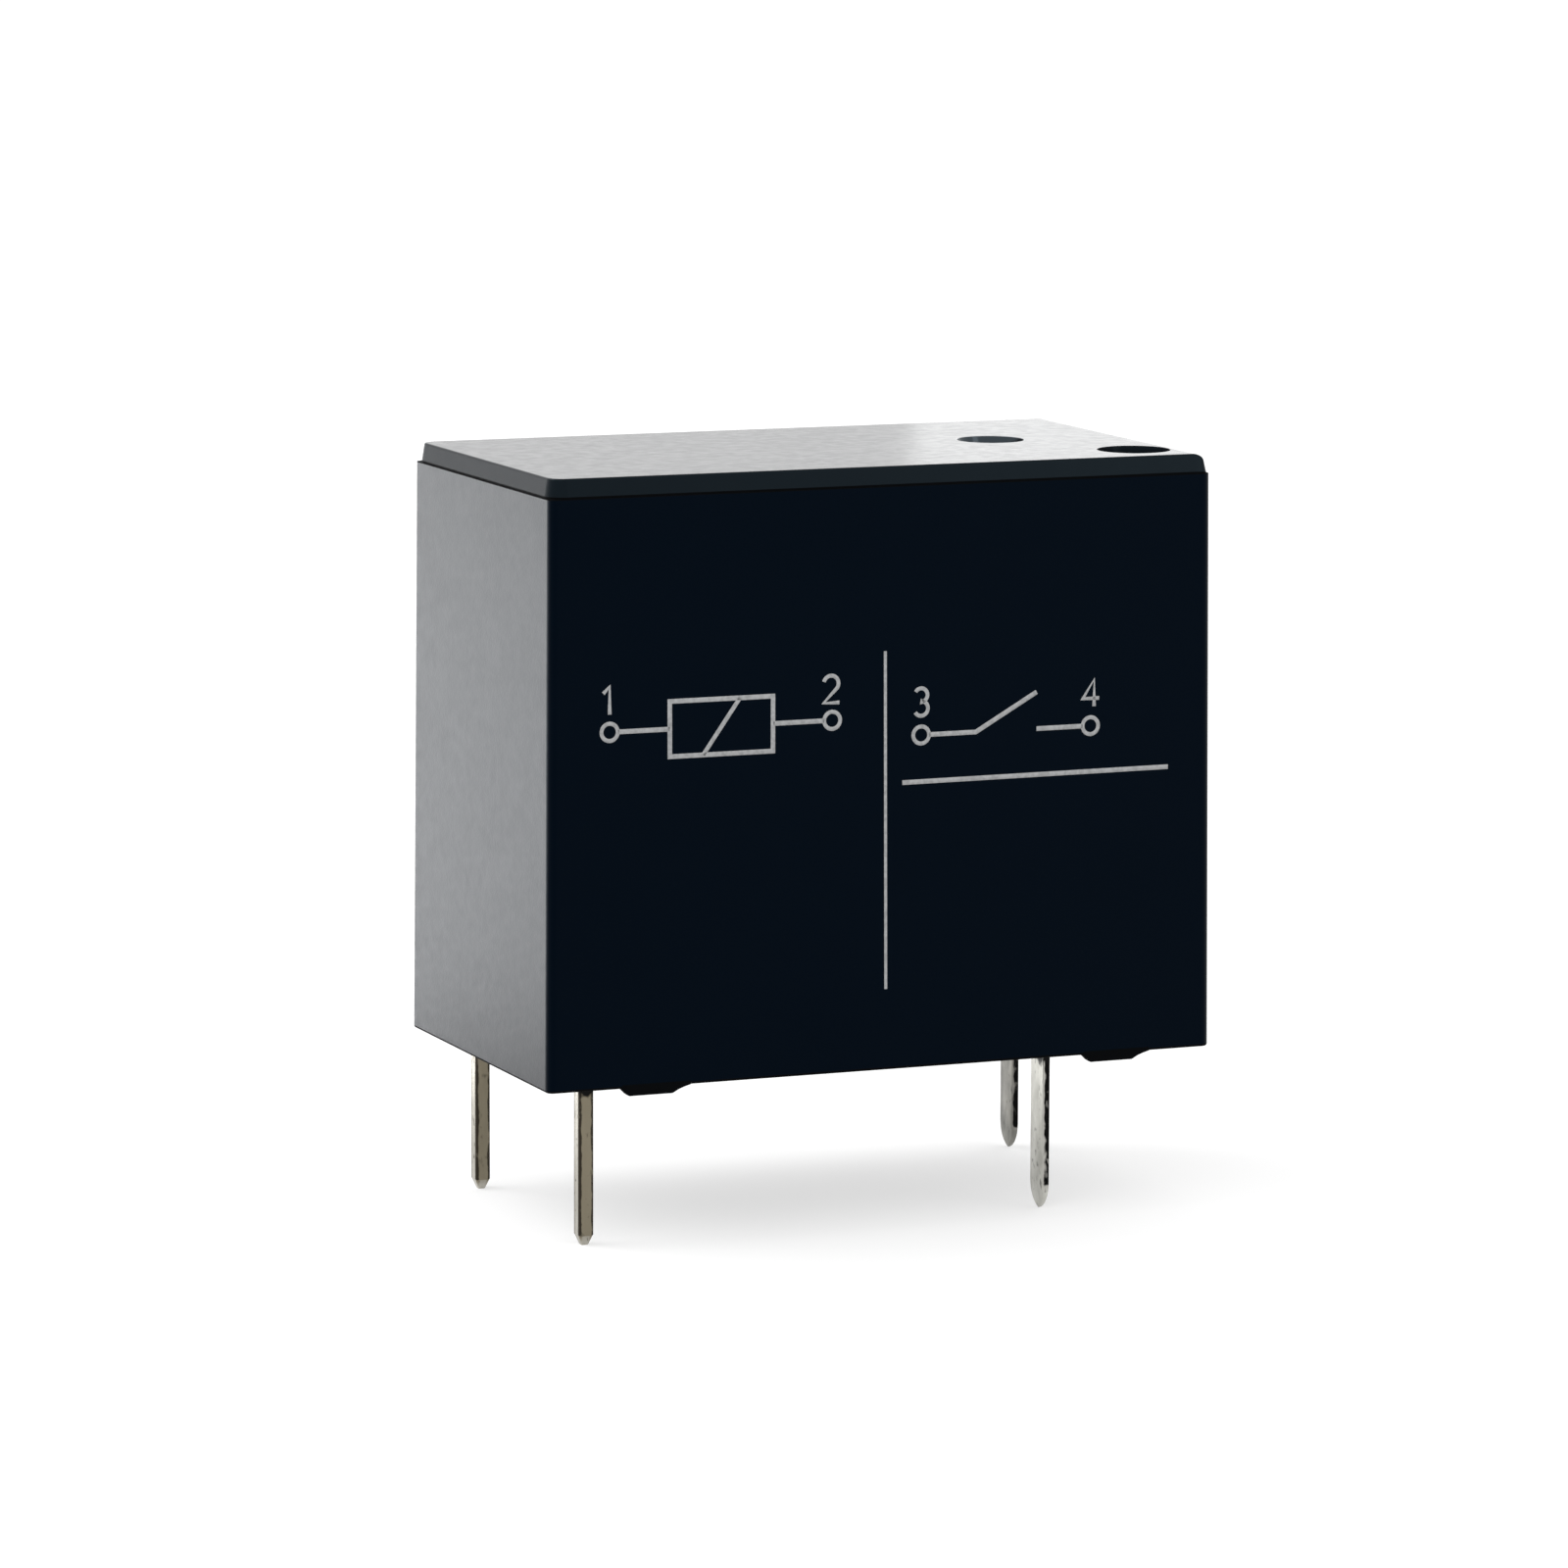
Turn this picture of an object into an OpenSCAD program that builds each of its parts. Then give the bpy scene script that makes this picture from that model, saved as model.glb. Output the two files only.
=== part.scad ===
// Sealed board-mounted power relay with one normally open contact.
// Millimetres, +Z up, origin on the board face at the middle of the cover; -Y is the front.
// The magnet, contacts and clearances are stacked up first, and the cover closes around them.

/* [Pins] */
// Pitch of the board grid that the pins stand on
grid = 2.54; // [2.4:0.01:2.8]
// Grid steps between the front and the rear row of pins
row_steps = 3; // [3:1:4]
// Grid steps from the coil pins to the common terminal's pin
common_steps = 5; // [5:1:6]
// Length of the pins below the board face
pin_len = 4; // [2.5:0.1:5]
// Side of the square coil pins
coil_pin_t = 0.4; // [0.3:0.05:0.5]
// Thickness of the contact terminals' sheet
terminal_t = 0.2; // [0.15:0.01:0.3]
// Width of the contact terminals' pins
terminal_w = 0.8; // [0.6:0.05:0.9]
// Length of the pointed end of a contact terminal
tip_len = 0.55; // [0.3:0.05:0.8]
// Length of the chamfered end of a coil pin
chamfer_len = 0.25; // [0.1:0.05:0.4]
// Side of a coil pin's blunt tip
coil_tip_t = 0.2; // [0.1:0.05:0.3]
// Distance from the bobbin's end to the middle of the coil pins
pin_edge_x = 0.65; // [0.5:0.05:0.9]
// Distance from the bobbin's sides to the middle of the pin rows
pin_edge_y = 0.49; // [0.45:0.01:0.7]

/* [Coil] */
// Width of the bobbin's flanges along X
flange_w = 8.4; // [8:0.1:9]
// Thickness of the flanges
flange_t = 0.8; // [0.5:0.05:1]
// Radius of the flanges' corners
flange_r = 0.5; // [0.2:0.1:0.8]
// Side of the notch in the upper flange that lets the wire past the yoke
notch_w = 0.8; // [0.4:0.1:1]
// Height of the winding between the flanges
winding_h = 7.2; // [6:0.1:9]
// Radius of the finished winding
winding_r = 3.75; // [3:0.05:3.85]
// Thickness of the tape around the winding
tape_t = 0.1; // [0.05:0.01:0.15]
// Bare winding left above and below the tape
tape_edge = 0.6; // [0.4:0.1:1]
// Angle over which the tape's end laps its start
tape_lap = 50; // [30:5:90]
// Wall of the bobbin's barrel
barrel_t = 0.4; // [0.3:0.05:0.6]
// Radius of the iron core
core_r = 1.5; // [1.2:0.1:1.9]
// Radius of the core's swaged tail in the yoke
tail_r = 1; // [0.7:0.1:1.1]
// Radius of the pole head
head_r = 2.9; // [2.4:0.1:3.3]
// Thickness of the pole head
head_t = 0.8; // [0.6:0.1:1.1]
// Radius of the winding wire's ends
lead_r = 0.05; // [0.04:0.01:0.07]
// Turns of wire around each coil pin
lead_turns = 4; // [3:1:5]
// Pitch of those turns
lead_pitch = 0.12; // [0.11:0.01:0.2]
// Angle that each wire end follows the winding
lead_hug = 40; // [24:8:64]

/* [Magnet frame] */
// Thickness of the yoke
yoke_t = 1.2; // [1:0.05:1.4]
// Width of the yoke along Y
yoke_w = 7; // [6.4:0.1:7.4]
// Outer radius of the yoke's bend
yoke_bend = 1; // [0.4:0.1:1.2]
// Radius of the two pips that stake the hinge spring
pip_r = 0.45; // [0.3:0.05:0.6]
// Thickness of the armature
armature_t = 0.9; // [0.7:0.05:1.1]
// Width of the armature over the pole
armature_w = 6.8; // [6:0.1:7.4]
// Reach of the armature from its hinge towards the pole's far edge
armature_l = 8.5; // [8:0.1:8.8]
// Corner radius of the armature's free end
armature_r = 1; // [0.4:0.1:1.5]
// Width of the arm that hangs down beside the yoke
arm_w = 4.6; // [4:0.1:4.8]
// Length of that arm below the hinge
arm_len = 5.9; // [5.2:0.1:6.4]
// Height of the card above the arm's lower end
card_lift = 0.75; // [0.7:0.05:1]
// Angle that the armature closes through
swing = 4; // [3:0.25:4.5]
// Thickness of the hinge spring's leaf
spring_t = 0.15; // [0.1:0.01:0.2]
// Width of each of the hinge spring's two straps
strap_w = 0.7; // [0.5:0.05:0.8]

/* [Contacts] */
// Thickness of the moving blade
blade_t = 0.2; // [0.12:0.01:0.25]
// Width of the blade at its foot
blade_w = 4.2; // [3.8:0.1:4.6]
// Height of the blade's foot above the base plate
blade_lift = 0.6; // [0.4:0.05:0.8]
// Height of the contacts above the blade's foot
contact_lift = 8.55; // [7.5:0.05:9]
// Radius of the contact buttons
contact_r = 1.2; // [0.9:0.05:1.4]
// Thickness of the moving contact's button
button_t = 0.7; // [0.5:0.05:0.8]
// Radius of the domed face of the moving contact
dome_r = 6; // [5:0.5:8]
// Radius of the contacts' shanks
shank_r = 0.7; // [0.5:0.05:0.8]
// Thickness of the riveted tails
tail_t = 0.25; // [0.15:0.05:0.35]
// Radius of the blade's rivets
rivet_r = 0.45; // [0.3:0.05:0.5]
// Distance between the blade's two rivets
rivet_pitch = 2.2; // [1.8:0.1:2.4]
// Height of the terminals' feet above the base plate
plate_h = 2.2; // [2:0.1:2.6]
// Width of the fixed terminal's tongue
tongue_w = 3.6; // [3:0.1:4]
// Thickness of the push card
card_t = 1.2; // [1:0.05:1.4]
// Width of the push card in the barrier's window
card_w = 3.4; // [3:0.1:3.8]
// Width of the push card's head behind the blade
card_head_w = 4.4; // [4:0.1:5]

/* [Base] */
// Thickness of the base plate
base_t = 1.1; // [0.8:0.05:1.4]
// Thickness of the sealing resin under the base
seal_t = 0.6; // [0.4:0.05:0.8]
// Depth of the resin's face above the cover's rim
seal_recess = 0.25; // [0.1:0.05:0.4]
// Thickness of the barrier between the coil and the contacts
barrier_t = 0.6; // [0.4:0.05:0.7]
// Length along X of the posts that hold the terminals
post_l = 1.2; // [1:0.05:1.4]
// Height of the posts
post_h = 1.75; // [1.4:0.05:2]

/* [Cover] */
// Thickness of the side walls
wall = 0.7; // [0.5:0.05:0.8]
// Thickness of the roof
roof = 0.9; // [0.8:0.05:1.2]
// Draft of each side wall over its whole height
draft = 0.1; // [0.04:0.02:0.16]
// Radius of the upright corners
corner_r = 0.2; // [0.1:0.05:0.4]
// Height of the raised crown
crown_h = 0.5; // [0.3:0.05:0.6]
// Width of the ledge around the crown
ledge_w = 0.04; // [0.02:0.01:0.1]
// Lean of the crown's sides over its height
crown_lean = 0.07; // [0.04:0.01:0.1]
// Radius of the crown's upright corners at the coil end
crown_corner_r = 0.45; // [0.3:0.05:0.6]
// Radius of the rounded edge at the contact end of the crown
crown_round = 0.42; // [0.3:0.02:0.5]
// Radius of the gate recess over the contacts
gate_r = 0.88; // [0.6:0.02:1]
// Depth of the gate recess
gate_depth = 0.3; // [0.2:0.05:0.4]
// Distance from the contact end of the cover to the middle of the gate recess
gate_inset = 4; // [2:0.1:9]
// Shift of the gate recess from the cover's middle towards the rear
gate_shift = 0.25; // [-2:0.05:2]
// Radius of the vent recess in the corner
vent_r = 0.95; // [0.6:0.05:1]
// Depth of the vent recess
vent_depth = 0.6; // [0.4:0.05:0.7]
// Distance from the crown's rounded end to the vent recess
vent_edge = 0.03; // [0:0.01:0.3]
// Distance from the front wall's outer face to the vent recess
vent_side = 0.8; // [0.5:0.05:1.5]
// Height of the feet under the rim
foot_h = 0.2; // [0.15:0.05:0.4]
// Width of a foot's flat underside
foot_w = 1.25; // [0.8:0.05:1.6]
// Depth of a foot along Y
foot_d = 0.5; // [0.3:0.05:0.5]
// Run of a foot's steep end
foot_steep = 0.2; // [0.1:0.05:0.4]
// Run of a foot's shallow end
foot_slope = 0.45; // [0.2:0.05:0.6]
// Distance from the cover's ends to the middle of the feet
foot_inset = 2.8; // [2:0.1:3.5]
// Chamfer inside the rim
rim_chamfer = 0.12; // [0.05:0.01:0.2]
// Thickness of the ribs that guide the barrier
rib_t = 0.45; // [0.3:0.05:0.6]
// Depth of those ribs
rib_d = 0.35; // [0.2:0.05:0.4]

/* [Clearances] */
// Between the bobbin's flanges and the cover
side_gap = 0.1; // [0.05:0.01:0.2]
// Between moulded pieces that seat in each other
fit_gap = 0.05; // [0.03:0.01:0.08]
// Between the bobbin and the yoke's upright leg
yoke_gap = 0.1; // [0.05:0.01:0.2]
// Between the yoke and the armature's hanging arm
arm_gap = 0.1; // [0.06:0.01:0.15]
// Between the armature's swing and the barrier
barrier_gap = 0.15; // [0.1:0.01:0.25]
// Left between pieces that push each other, and between closed faces
touch_gap = 0.03; // [0.02:0.005:0.05]
// Around the card in its window
slide_gap = 0.1; // [0.05:0.01:0.15]
// Between the wire's ends and what they are wound on
wire_gap = 0.02; // [0.01:0.005:0.04]
// Above the armature's free end
top_gap = 0.33; // [0.2:0.01:0.5]
// From the fixed terminal to the cover's end wall
end_gap = 0.91; // [0.7:0.01:1.2]

/* [Hidden] */
$fn = 48;
// How far cutters run past what they cut
lap = 1;
// Wire ends: sides of the round wire, rings per turn on a pin, angle between rings on the winding
wire_sides = 8;
turn_rings = 10;
hug_step = 8;

// Heights, from the board face up
rim_z = foot_h;
seal_z = rim_z + seal_recess;
base_z = seal_z + seal_t;
deck_z = base_z + base_t;
flange_z = deck_z + yoke_t;
winding_z = flange_z + flange_t;
winding_top = winding_z + winding_h;
pole_seat_z = winding_top + flange_t;
pole_z = pole_seat_z + head_t;
pivot_z = pole_z + touch_gap;
ceiling_z = pivot_z + armature_l * sin(swing) + armature_t * cos(swing) + top_gap;
top_z = ceiling_z + roof;
ledge_z = top_z - crown_h;
cover_h = ledge_z - rim_z;

// Places along the relay, counted from the coil pins and then centred on the cover
left_end = -pin_edge_x - side_gap - wall;
right_end = (common_steps + 1) * grid + terminal_t / 2 + end_gap + wall;
cover_w = right_end - left_end;
coil_pin_x = -(left_end + right_end) / 2;
common_x = coil_pin_x + common_steps * grid;
fixed_x = common_x + grid;
flange_x0 = coil_pin_x - pin_edge_x;
flange_x1 = flange_x0 + flange_w;
coil_x = (flange_x0 + flange_x1) / 2;
yoke_x0 = flange_x1 + yoke_gap;
yoke_x1 = yoke_x0 + yoke_t;
arm_x0 = yoke_x1 + arm_gap;
arm_x1 = arm_x0 + armature_t;
barrier_x0 = arm_x1 + arm_len * sin(swing) + barrier_gap;
barrier_x1 = barrier_x0 + barrier_t;
blade_x0 = common_x + terminal_t / 2 + touch_gap;
blade_x1 = blade_x0 + blade_t;
tongue_x0 = fixed_x - terminal_t / 2;

// Depths
row_y = row_steps * grid / 2;
flange_d = 2 * (row_y + pin_edge_y);
cover_d = flange_d + 2 * (side_gap + wall);
yoke_foot_x = coil_x - tail_r - yoke_t;
strap_y = arm_w / 2 + 2 * slide_gap + strap_w / 2;
neck_l = 2 * slide_gap + spring_t;

// The hinge spring's plate stands under the arm and is staked by two pips in its middle
arm_z = pivot_z - arm_len;
spring_top_z = arm_z - 2 * slide_gap;
pip_z = (flange_z + spring_top_z) / 2;
pip_y = yoke_w / 4;

// Motion: the hanging arm slides the card, and the card swings the blade
card_z = arm_z + card_lift;
arm_reach = arm_x1 - yoke_x1;
card_travel = arm_reach * (cos(swing) - 1)
            + (pivot_z - card_z + arm_reach * sin(swing)) * tan(swing);
blade_z = deck_z + blade_lift;
contact_z = blade_z + contact_lift;
blade_swing = atan(card_travel / (card_z - blade_z));
button_reach = blade_t / 2 + button_t;
contact_travel = (button_reach - dome_r) * (cos(blade_swing) - 1) + contact_lift * sin(blade_swing);
fixed_face_x = blade_x1 + button_t + contact_travel + touch_gap;
rivet_z = (blade_z + deck_z + plate_h) / 2;
rivet_head_r = rivet_r + tail_t;
rivet_gap = (rivet_z + rivet_head_r - blade_z) * tan(blade_swing) + touch_gap;

// Wire ends leave the coil pins along the line that touches both the pin's turns and the winding
wrap_r = coil_pin_t / sqrt(2) + lead_r + wire_gap;
wound_r = winding_r + lead_r + wire_gap;
lead_z = winding_z + tape_edge / 2;
post_top_z = lead_z + (lead_turns + 1) * lead_pitch;
pin_to_coil = [coil_x - coil_pin_x, -row_y];
lead_angle = atan2(pin_to_coil[1], pin_to_coil[0]) + asin((wound_r - wrap_r) / norm(pin_to_coil)) + 90;

// Inside width and depth of the cover at height z
function inner_w(z) = cover_w - 2 * wall - 2 * draft * (z - rim_z) / cover_h;
function inner_d(z) = cover_d - 2 * wall - 2 * draft * (z - rim_z) / cover_h;

// Points on a circle of radius r around c at height z
function on_circle(c, r, a, z) = [c[0] + r * cos(a), c[1] + r * sin(a), z];

// A profile drawn in X and Z, drawn out along Y
module along_y(w) {
  rotate([90, 0, 0]) linear_extrude(w, center = true) children();
}

// A profile drawn in Y and Z, drawn out along X from x0
module along_x(x0, t) {
  translate([x0, 0, 0]) rotate([90, 0, 90]) linear_extrude(t) children();
}

// A round stub along X, from x0 to x1
module stub(x0, x1, y, z, r) {
  translate([x0, y, z]) rotate([0, 90, 0]) cylinder(x1 - x0, r = r);
}

module rounded_rect(w, d, r) {
  square([w - 2 * r, d], center = true);
  square([w, d - 2 * r], center = true);
  for (sx = [-1, 1], sy = [-1, 1]) translate([sx * (w / 2 - r), sy * (d / 2 - r)]) circle(r);
}

// A block with rounded corners that narrows from w0 by d0 at z0 to w1 by d1 at z1
module drafted(z0, w0, d0, z1, w1, d1, r) {
  translate([0, 0, z0])
    linear_extrude(z1 - z0, scale = [w1 / w0, d1 / d0], slices = 1) rounded_rect(w0, d0, r, $fn = 32);
}

// The space inside the cover between two heights, less a gap all round
module cavity(z0, z1, gap = 0) {
  drafted(z0, inner_w(z0) - 2 * gap, inner_d(z0) - 2 * gap,
          z1, inner_w(z1) - 2 * gap, inner_d(z1) - 2 * gap, corner_r);
}

// Outline of one foot in X and Z
module foot_outline() {
  polygon([[-foot_w / 2, 0], [foot_w / 2, 0],
           [foot_w / 2 + foot_slope, foot_h], [-foot_w / 2 - foot_steep, foot_h]]);
}

// Outline of the crown: wide corners at the coil end, the case's own at the contact end
module crown_outline(w, d) {
  rounded_rect(w, d, crown_corner_r, $fn = 32);
  translate([w / 4, 0]) rounded_rect(w / 2, d, corner_r, $fn = 32);
}

// Moulded case: drafted walls, raised crown with one rounded end, two recesses, four feet
module cover() {
  ledge_wide = cover_w - 2 * draft;
  ledge_deep = cover_d - 2 * draft;
  crown_w = ledge_wide - 2 * ledge_w;
  crown_d = ledge_deep - 2 * ledge_w;
  vent_x = crown_w / 2 - crown_round - vent_edge - vent_r;
  color("#15181d") {
    difference() {
      union() {
        drafted(rim_z, cover_w, cover_d, ledge_z, ledge_wide, ledge_deep, corner_r);
        difference() {
          translate([0, 0, ledge_z])
            linear_extrude(crown_h, scale = [1 - 2 * crown_lean / crown_w, 1 - 2 * crown_lean / crown_d], slices = 1)
              crown_outline(crown_w, crown_d);
          translate([crown_w / 2 - crown_round, 0, top_z - crown_round]) along_y(cover_d) difference() {
            square(2 * crown_round);
            circle(crown_round);
          }
        }
        for (sx = [-1, 1], sy = [-1, 1])
          translate([sx * (cover_w / 2 - foot_inset), sy * (cover_d - foot_d) / 2, 0])
            along_y(foot_d) foot_outline();
      }
      cavity(rim_z - lap, ceiling_z);
      drafted(rim_z, inner_w(rim_z) + 2 * rim_chamfer, inner_d(rim_z) + 2 * rim_chamfer,
              rim_z + rim_chamfer, inner_w(rim_z), inner_d(rim_z), corner_r);
      translate([cover_w / 2 - gate_inset, gate_shift, top_z - gate_depth])
        cylinder(gate_depth + lap, r = gate_r);
      translate([vent_x, vent_side + vent_r - cover_d / 2, top_z - vent_depth])
        cylinder(vent_depth + lap, r = vent_r);
    }
    barrier_ribs();
  }
}

// Four ribs inside the cover that take the barrier's edges between them
module barrier_ribs() {
  for (x = [barrier_x0 - fit_gap - rib_t, barrier_x1 + fit_gap], side = [0, 1])
    mirror([0, side, 0]) translate([x, inner_d(ceiling_z) / 2 - rib_d, deck_z + fit_gap])
      cube([rib_t, rib_d + wall / 2, ceiling_z + roof / 2 - deck_z - fit_gap]);
}

// Two posts that grip a terminal's foot at its ends
module terminal_posts(x, side) {
  for (y = [side * row_y, -side * (row_y - terminal_w)])
    translate([x - post_l / 2, y - terminal_w / 2, deck_z - fit_gap])
      cube([post_l, terminal_w - fit_gap, post_h]);
}

// Moulded base: plate, barrier with the card's window, terminal posts, rails beside the yoke
module base() {
  rail_w = flange_d / 2 - yoke_w / 2 - fit_gap;
  color("#2a2d31") difference() {
    union() {
      cavity(base_z, deck_z, fit_gap);
      intersection() {
        cavity(deck_z - fit_gap, ceiling_z - top_gap, fit_gap);
        translate([barrier_x0, -cover_d, deck_z - fit_gap]) cube([barrier_t, 2 * cover_d, ceiling_z]);
      }
      terminal_posts(common_x, -1);
      terminal_posts(fixed_x, 1);
      for (sy = [-1, 1])
        translate([yoke_foot_x, sy * (yoke_w / 2 + fit_gap + rail_w / 2) - rail_w / 2, deck_z - fit_gap])
          cube([coil_x - yoke_foot_x, rail_w, yoke_t / 2 + fit_gap]);
    }
    along_x(barrier_x0 - lap, barrier_t + 2 * lap) translate([0, card_z])
      square([card_w + 2 * slide_gap, card_t + 2 * slide_gap], center = true);
    common_terminal();
    fixed_terminal();
    coil_pin(-1);
    coil_pin(1);
  }
}

// Resin poured into the cover's open bottom, around the pins
module sealing_resin() {
  color("#1d1f22") difference() {
    cavity(seal_z, base_z);
    common_terminal();
    fixed_terminal();
    coil_pin(-1);
    coil_pin(1);
  }
}

// One flange of the bobbin
module flange(z) {
  translate([coil_x, 0, z]) linear_extrude(flange_t) rounded_rect(flange_w, flange_d, flange_r);
}

// Moulded bobbin: two flanges on a barrel, with a block at each front corner for a coil pin
module bobbin() {
  block_l = 2 * pin_edge_x;
  block_w = 2 * pin_edge_y;
  color("#3a3733") difference() {
    union() {
      flange(flange_z);
      flange(winding_top);
      translate([coil_x, 0, winding_z]) cylinder(winding_h, r = core_r + fit_gap + barrel_t);
      for (sy = [-1, 1])
        translate([flange_x0 + fit_gap, sy * (row_y - fit_gap) - block_w / 2, deck_z])
          cube([block_l - fit_gap, block_w, yoke_t + fit_gap]);
    }
    translate([coil_x, 0, flange_z - lap]) cylinder(pole_seat_z - flange_z + 2 * lap, r = core_r + fit_gap);
    translate([flange_x1, 0, winding_top + flange_t / 2]) rotate(45)
      cube([notch_w, notch_w, flange_t + lap], center = true);
    coil_pin(-1);
    coil_pin(1);
  }
}

// Enamelled copper wire wound on the barrel
module coil_winding() {
  barrel_r = core_r + fit_gap + barrel_t;
  color("#b06a3a") translate([coil_x, 0, winding_z]) rotate_extrude()
    translate([barrel_r, 0]) square([winding_r - barrel_r, winding_h]);
}

// Film tape around the winding, with its end lapped over the start
module coil_tape() {
  tape_h = winding_h - 2 * tape_edge;
  color("#c9a227") translate([coil_x, 0, winding_z + tape_edge]) {
    rotate_extrude() translate([winding_r, 0]) square([tape_t, tape_h]);
    rotate([0, 0, 180 - tape_lap / 2]) rotate_extrude(angle = tape_lap)
      translate([winding_r + tape_t / 2, 0]) square([tape_t, tape_h]);
  }
}

// Turned iron core: pole head, stem and the tail swaged into the yoke
module core() {
  color("#a9acb0") translate([coil_x, 0, 0]) {
    translate([0, 0, pole_seat_z]) cylinder(head_t, r = head_r);
    translate([0, 0, flange_z]) cylinder(pole_seat_z - flange_z, r = core_r);
    translate([0, 0, deck_z]) cylinder(yoke_t, r = tail_r);
  }
}

// Outline of the yoke in X and Z: a foot under the bobbin, a bend and an upright leg
module yoke_outline() {
  translate([yoke_foot_x, deck_z]) square([yoke_x1 - yoke_bend - yoke_foot_x, yoke_t]);
  translate([yoke_x0, deck_z + yoke_bend]) square([yoke_t, pole_z - deck_z - yoke_bend]);
  translate([yoke_x1 - yoke_bend, deck_z + yoke_bend]) intersection() {
    circle(yoke_bend);
    translate([0, -yoke_bend]) square(yoke_bend);
  }
}

// Bent iron yoke with two pips for the hinge spring
module yoke() {
  color("#9fa3a8") {
    difference() {
      along_y(yoke_w) yoke_outline();
      translate([coil_x, 0, deck_z - lap]) cylinder(yoke_t + 2 * lap, r = tail_r);
    }
    for (y = [-pip_y, pip_y]) stub(yoke_x1 - yoke_t / 2, yoke_x1 + 2 * spring_t, y, pip_z, pip_r);
  }
}

// Outline of the armature's plate: round free corners, square shoulders, a neck between the straps
module armature_outline() {
  wide_l = armature_l - neck_l;
  translate([wide_l / 2, 0]) rounded_rect(wide_l, armature_w, armature_r);
  translate([wide_l / 2, -armature_w / 2]) square([wide_l / 2, armature_w]);
  translate([wide_l / 2, -arm_w / 2]) square([armature_l + arm_gap - wide_l / 2, arm_w]);
}

// Armature: a plate over the pole, tilted open, bent into an arm that hangs beside the yoke
module armature() {
  color("#8f9499") {
    along_y(arm_w) {
      translate([arm_x0, arm_z]) square([armature_t, arm_len]);
      translate([arm_x0, pivot_z]) intersection() {
        circle(armature_t);
        square(armature_t);
      }
    }
    translate([arm_x0, 0, pivot_z]) rotate([0, swing, 0]) translate([-arm_gap - armature_l, 0, 0])
      linear_extrude(armature_t) armature_outline();
  }
}

// Leaf spring staked to the yoke; its two straps reach over the armature's shoulders and hold it down
module hinge_spring() {
  bend_z = pivot_z + armature_t + slide_gap;
  strap_l = 2 * armature_t;
  color("#c8ccd0") difference() {
    union() {
      translate([yoke_x1, -strap_y - strap_w / 2, flange_z])
        cube([spring_t, 2 * strap_y + strap_w, spring_top_z - flange_z]);
      for (sy = [-1, 1]) translate([0, sy * strap_y, 0]) along_y(strap_w) {
        translate([yoke_x1, flange_z]) square([spring_t, bend_z - flange_z]);
        translate([yoke_x1, bend_z]) intersection() {
          circle(spring_t);
          square(spring_t);
        }
        translate([yoke_x1, bend_z]) rotate(-swing) translate([-strap_l, 0]) square([strap_l, spring_t]);
      }
    }
    for (y = [-pip_y, pip_y]) stub(yoke_x1 - lap, yoke_x1 + lap, y, pip_z, pip_r);
  }
}

// Outline of the push card in X and Z, round at both pushing ends
module card_outline(x0, x1) {
  translate([x0 + card_t / 2, card_z]) circle(card_t / 2);
  translate([x1 - card_t / 2, card_z]) circle(card_t / 2);
  translate([x0 + card_t / 2, card_z - card_t / 2]) square([x1 - x0 - card_t, card_t]);
}

// Moulded push card: a tongue through the barrier, with a wider head against the blade
module push_card() {
  card_x0 = arm_x1 + touch_gap;
  card_x1 = blade_x0 - touch_gap;
  head_x0 = barrier_x1 + slide_gap;
  color("#e6e2d6") {
    along_y(card_w) card_outline(card_x0, card_x1);
    intersection() {
      along_y(card_head_w) card_outline(card_x0, card_x1);
      translate([head_x0, -cover_d, 0]) cube([card_x1 - head_x0, 2 * cover_d, top_z]);
    }
  }
}

// Outline of the blade in Y and Z: tapered leaf with a round end and a slot that softens it
module blade_outline() {
  end_r = contact_r + blade_t;
  slot_w = shank_r;
  difference() {
    union() {
      polygon([[-blade_w / 2, blade_z], [blade_w / 2, blade_z], [end_r, contact_z], [-end_r, contact_z]]);
      translate([0, contact_z]) circle(end_r);
    }
    translate([0, contact_z]) circle(shank_r);
    for (sy = [-1, 1]) translate([sy * rivet_pitch / 2, rivet_z]) circle(rivet_r + fit_gap);
    translate([-slot_w / 2, deck_z + plate_h]) square([slot_w, card_z - card_t - deck_z - plate_h]);
    for (z = [deck_z + plate_h, card_z - card_t]) translate([0, z]) circle(slot_w / 2);
  }
}

// Moving contact spring
module contact_blade() {
  color("#c58b52") along_x(blade_x0, blade_t) blade_outline();
}

// Domed contact riveted through the blade
module moving_contact() {
  face_x = blade_x1 + button_t;
  color("#d9d9d6") {
    translate([blade_x1, 0, contact_z]) rotate([0, 90, 0]) rotate_extrude() intersection() {
      square([contact_r, button_t]);
      translate([0, button_t - dome_r]) circle(dome_r, $fn = 192);
    }
    stub(blade_x0 - tail_t, face_x - button_t / 2, 0, contact_z, shank_r);
    stub(blade_x0 - tail_t, blade_x0, 0, contact_z, shank_r + tail_t);
  }
}

// Two rivets that fix the blade's foot to the common terminal
module blade_rivets() {
  plate_x0 = common_x - terminal_t / 2;
  head_x = blade_x1 + rivet_gap;
  color("#d8b98a") for (sy = [-1, 1]) {
    stub(plate_x0 - tail_t, plate_x0, sy * rivet_pitch / 2, rivet_z, rivet_head_r);
    stub(plate_x0 - tail_t, head_x + tail_t, sy * rivet_pitch / 2, rivet_z, rivet_r);
    stub(head_x, head_x + tail_t, sy * rivet_pitch / 2, rivet_z, rivet_head_r);
  }
}

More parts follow.
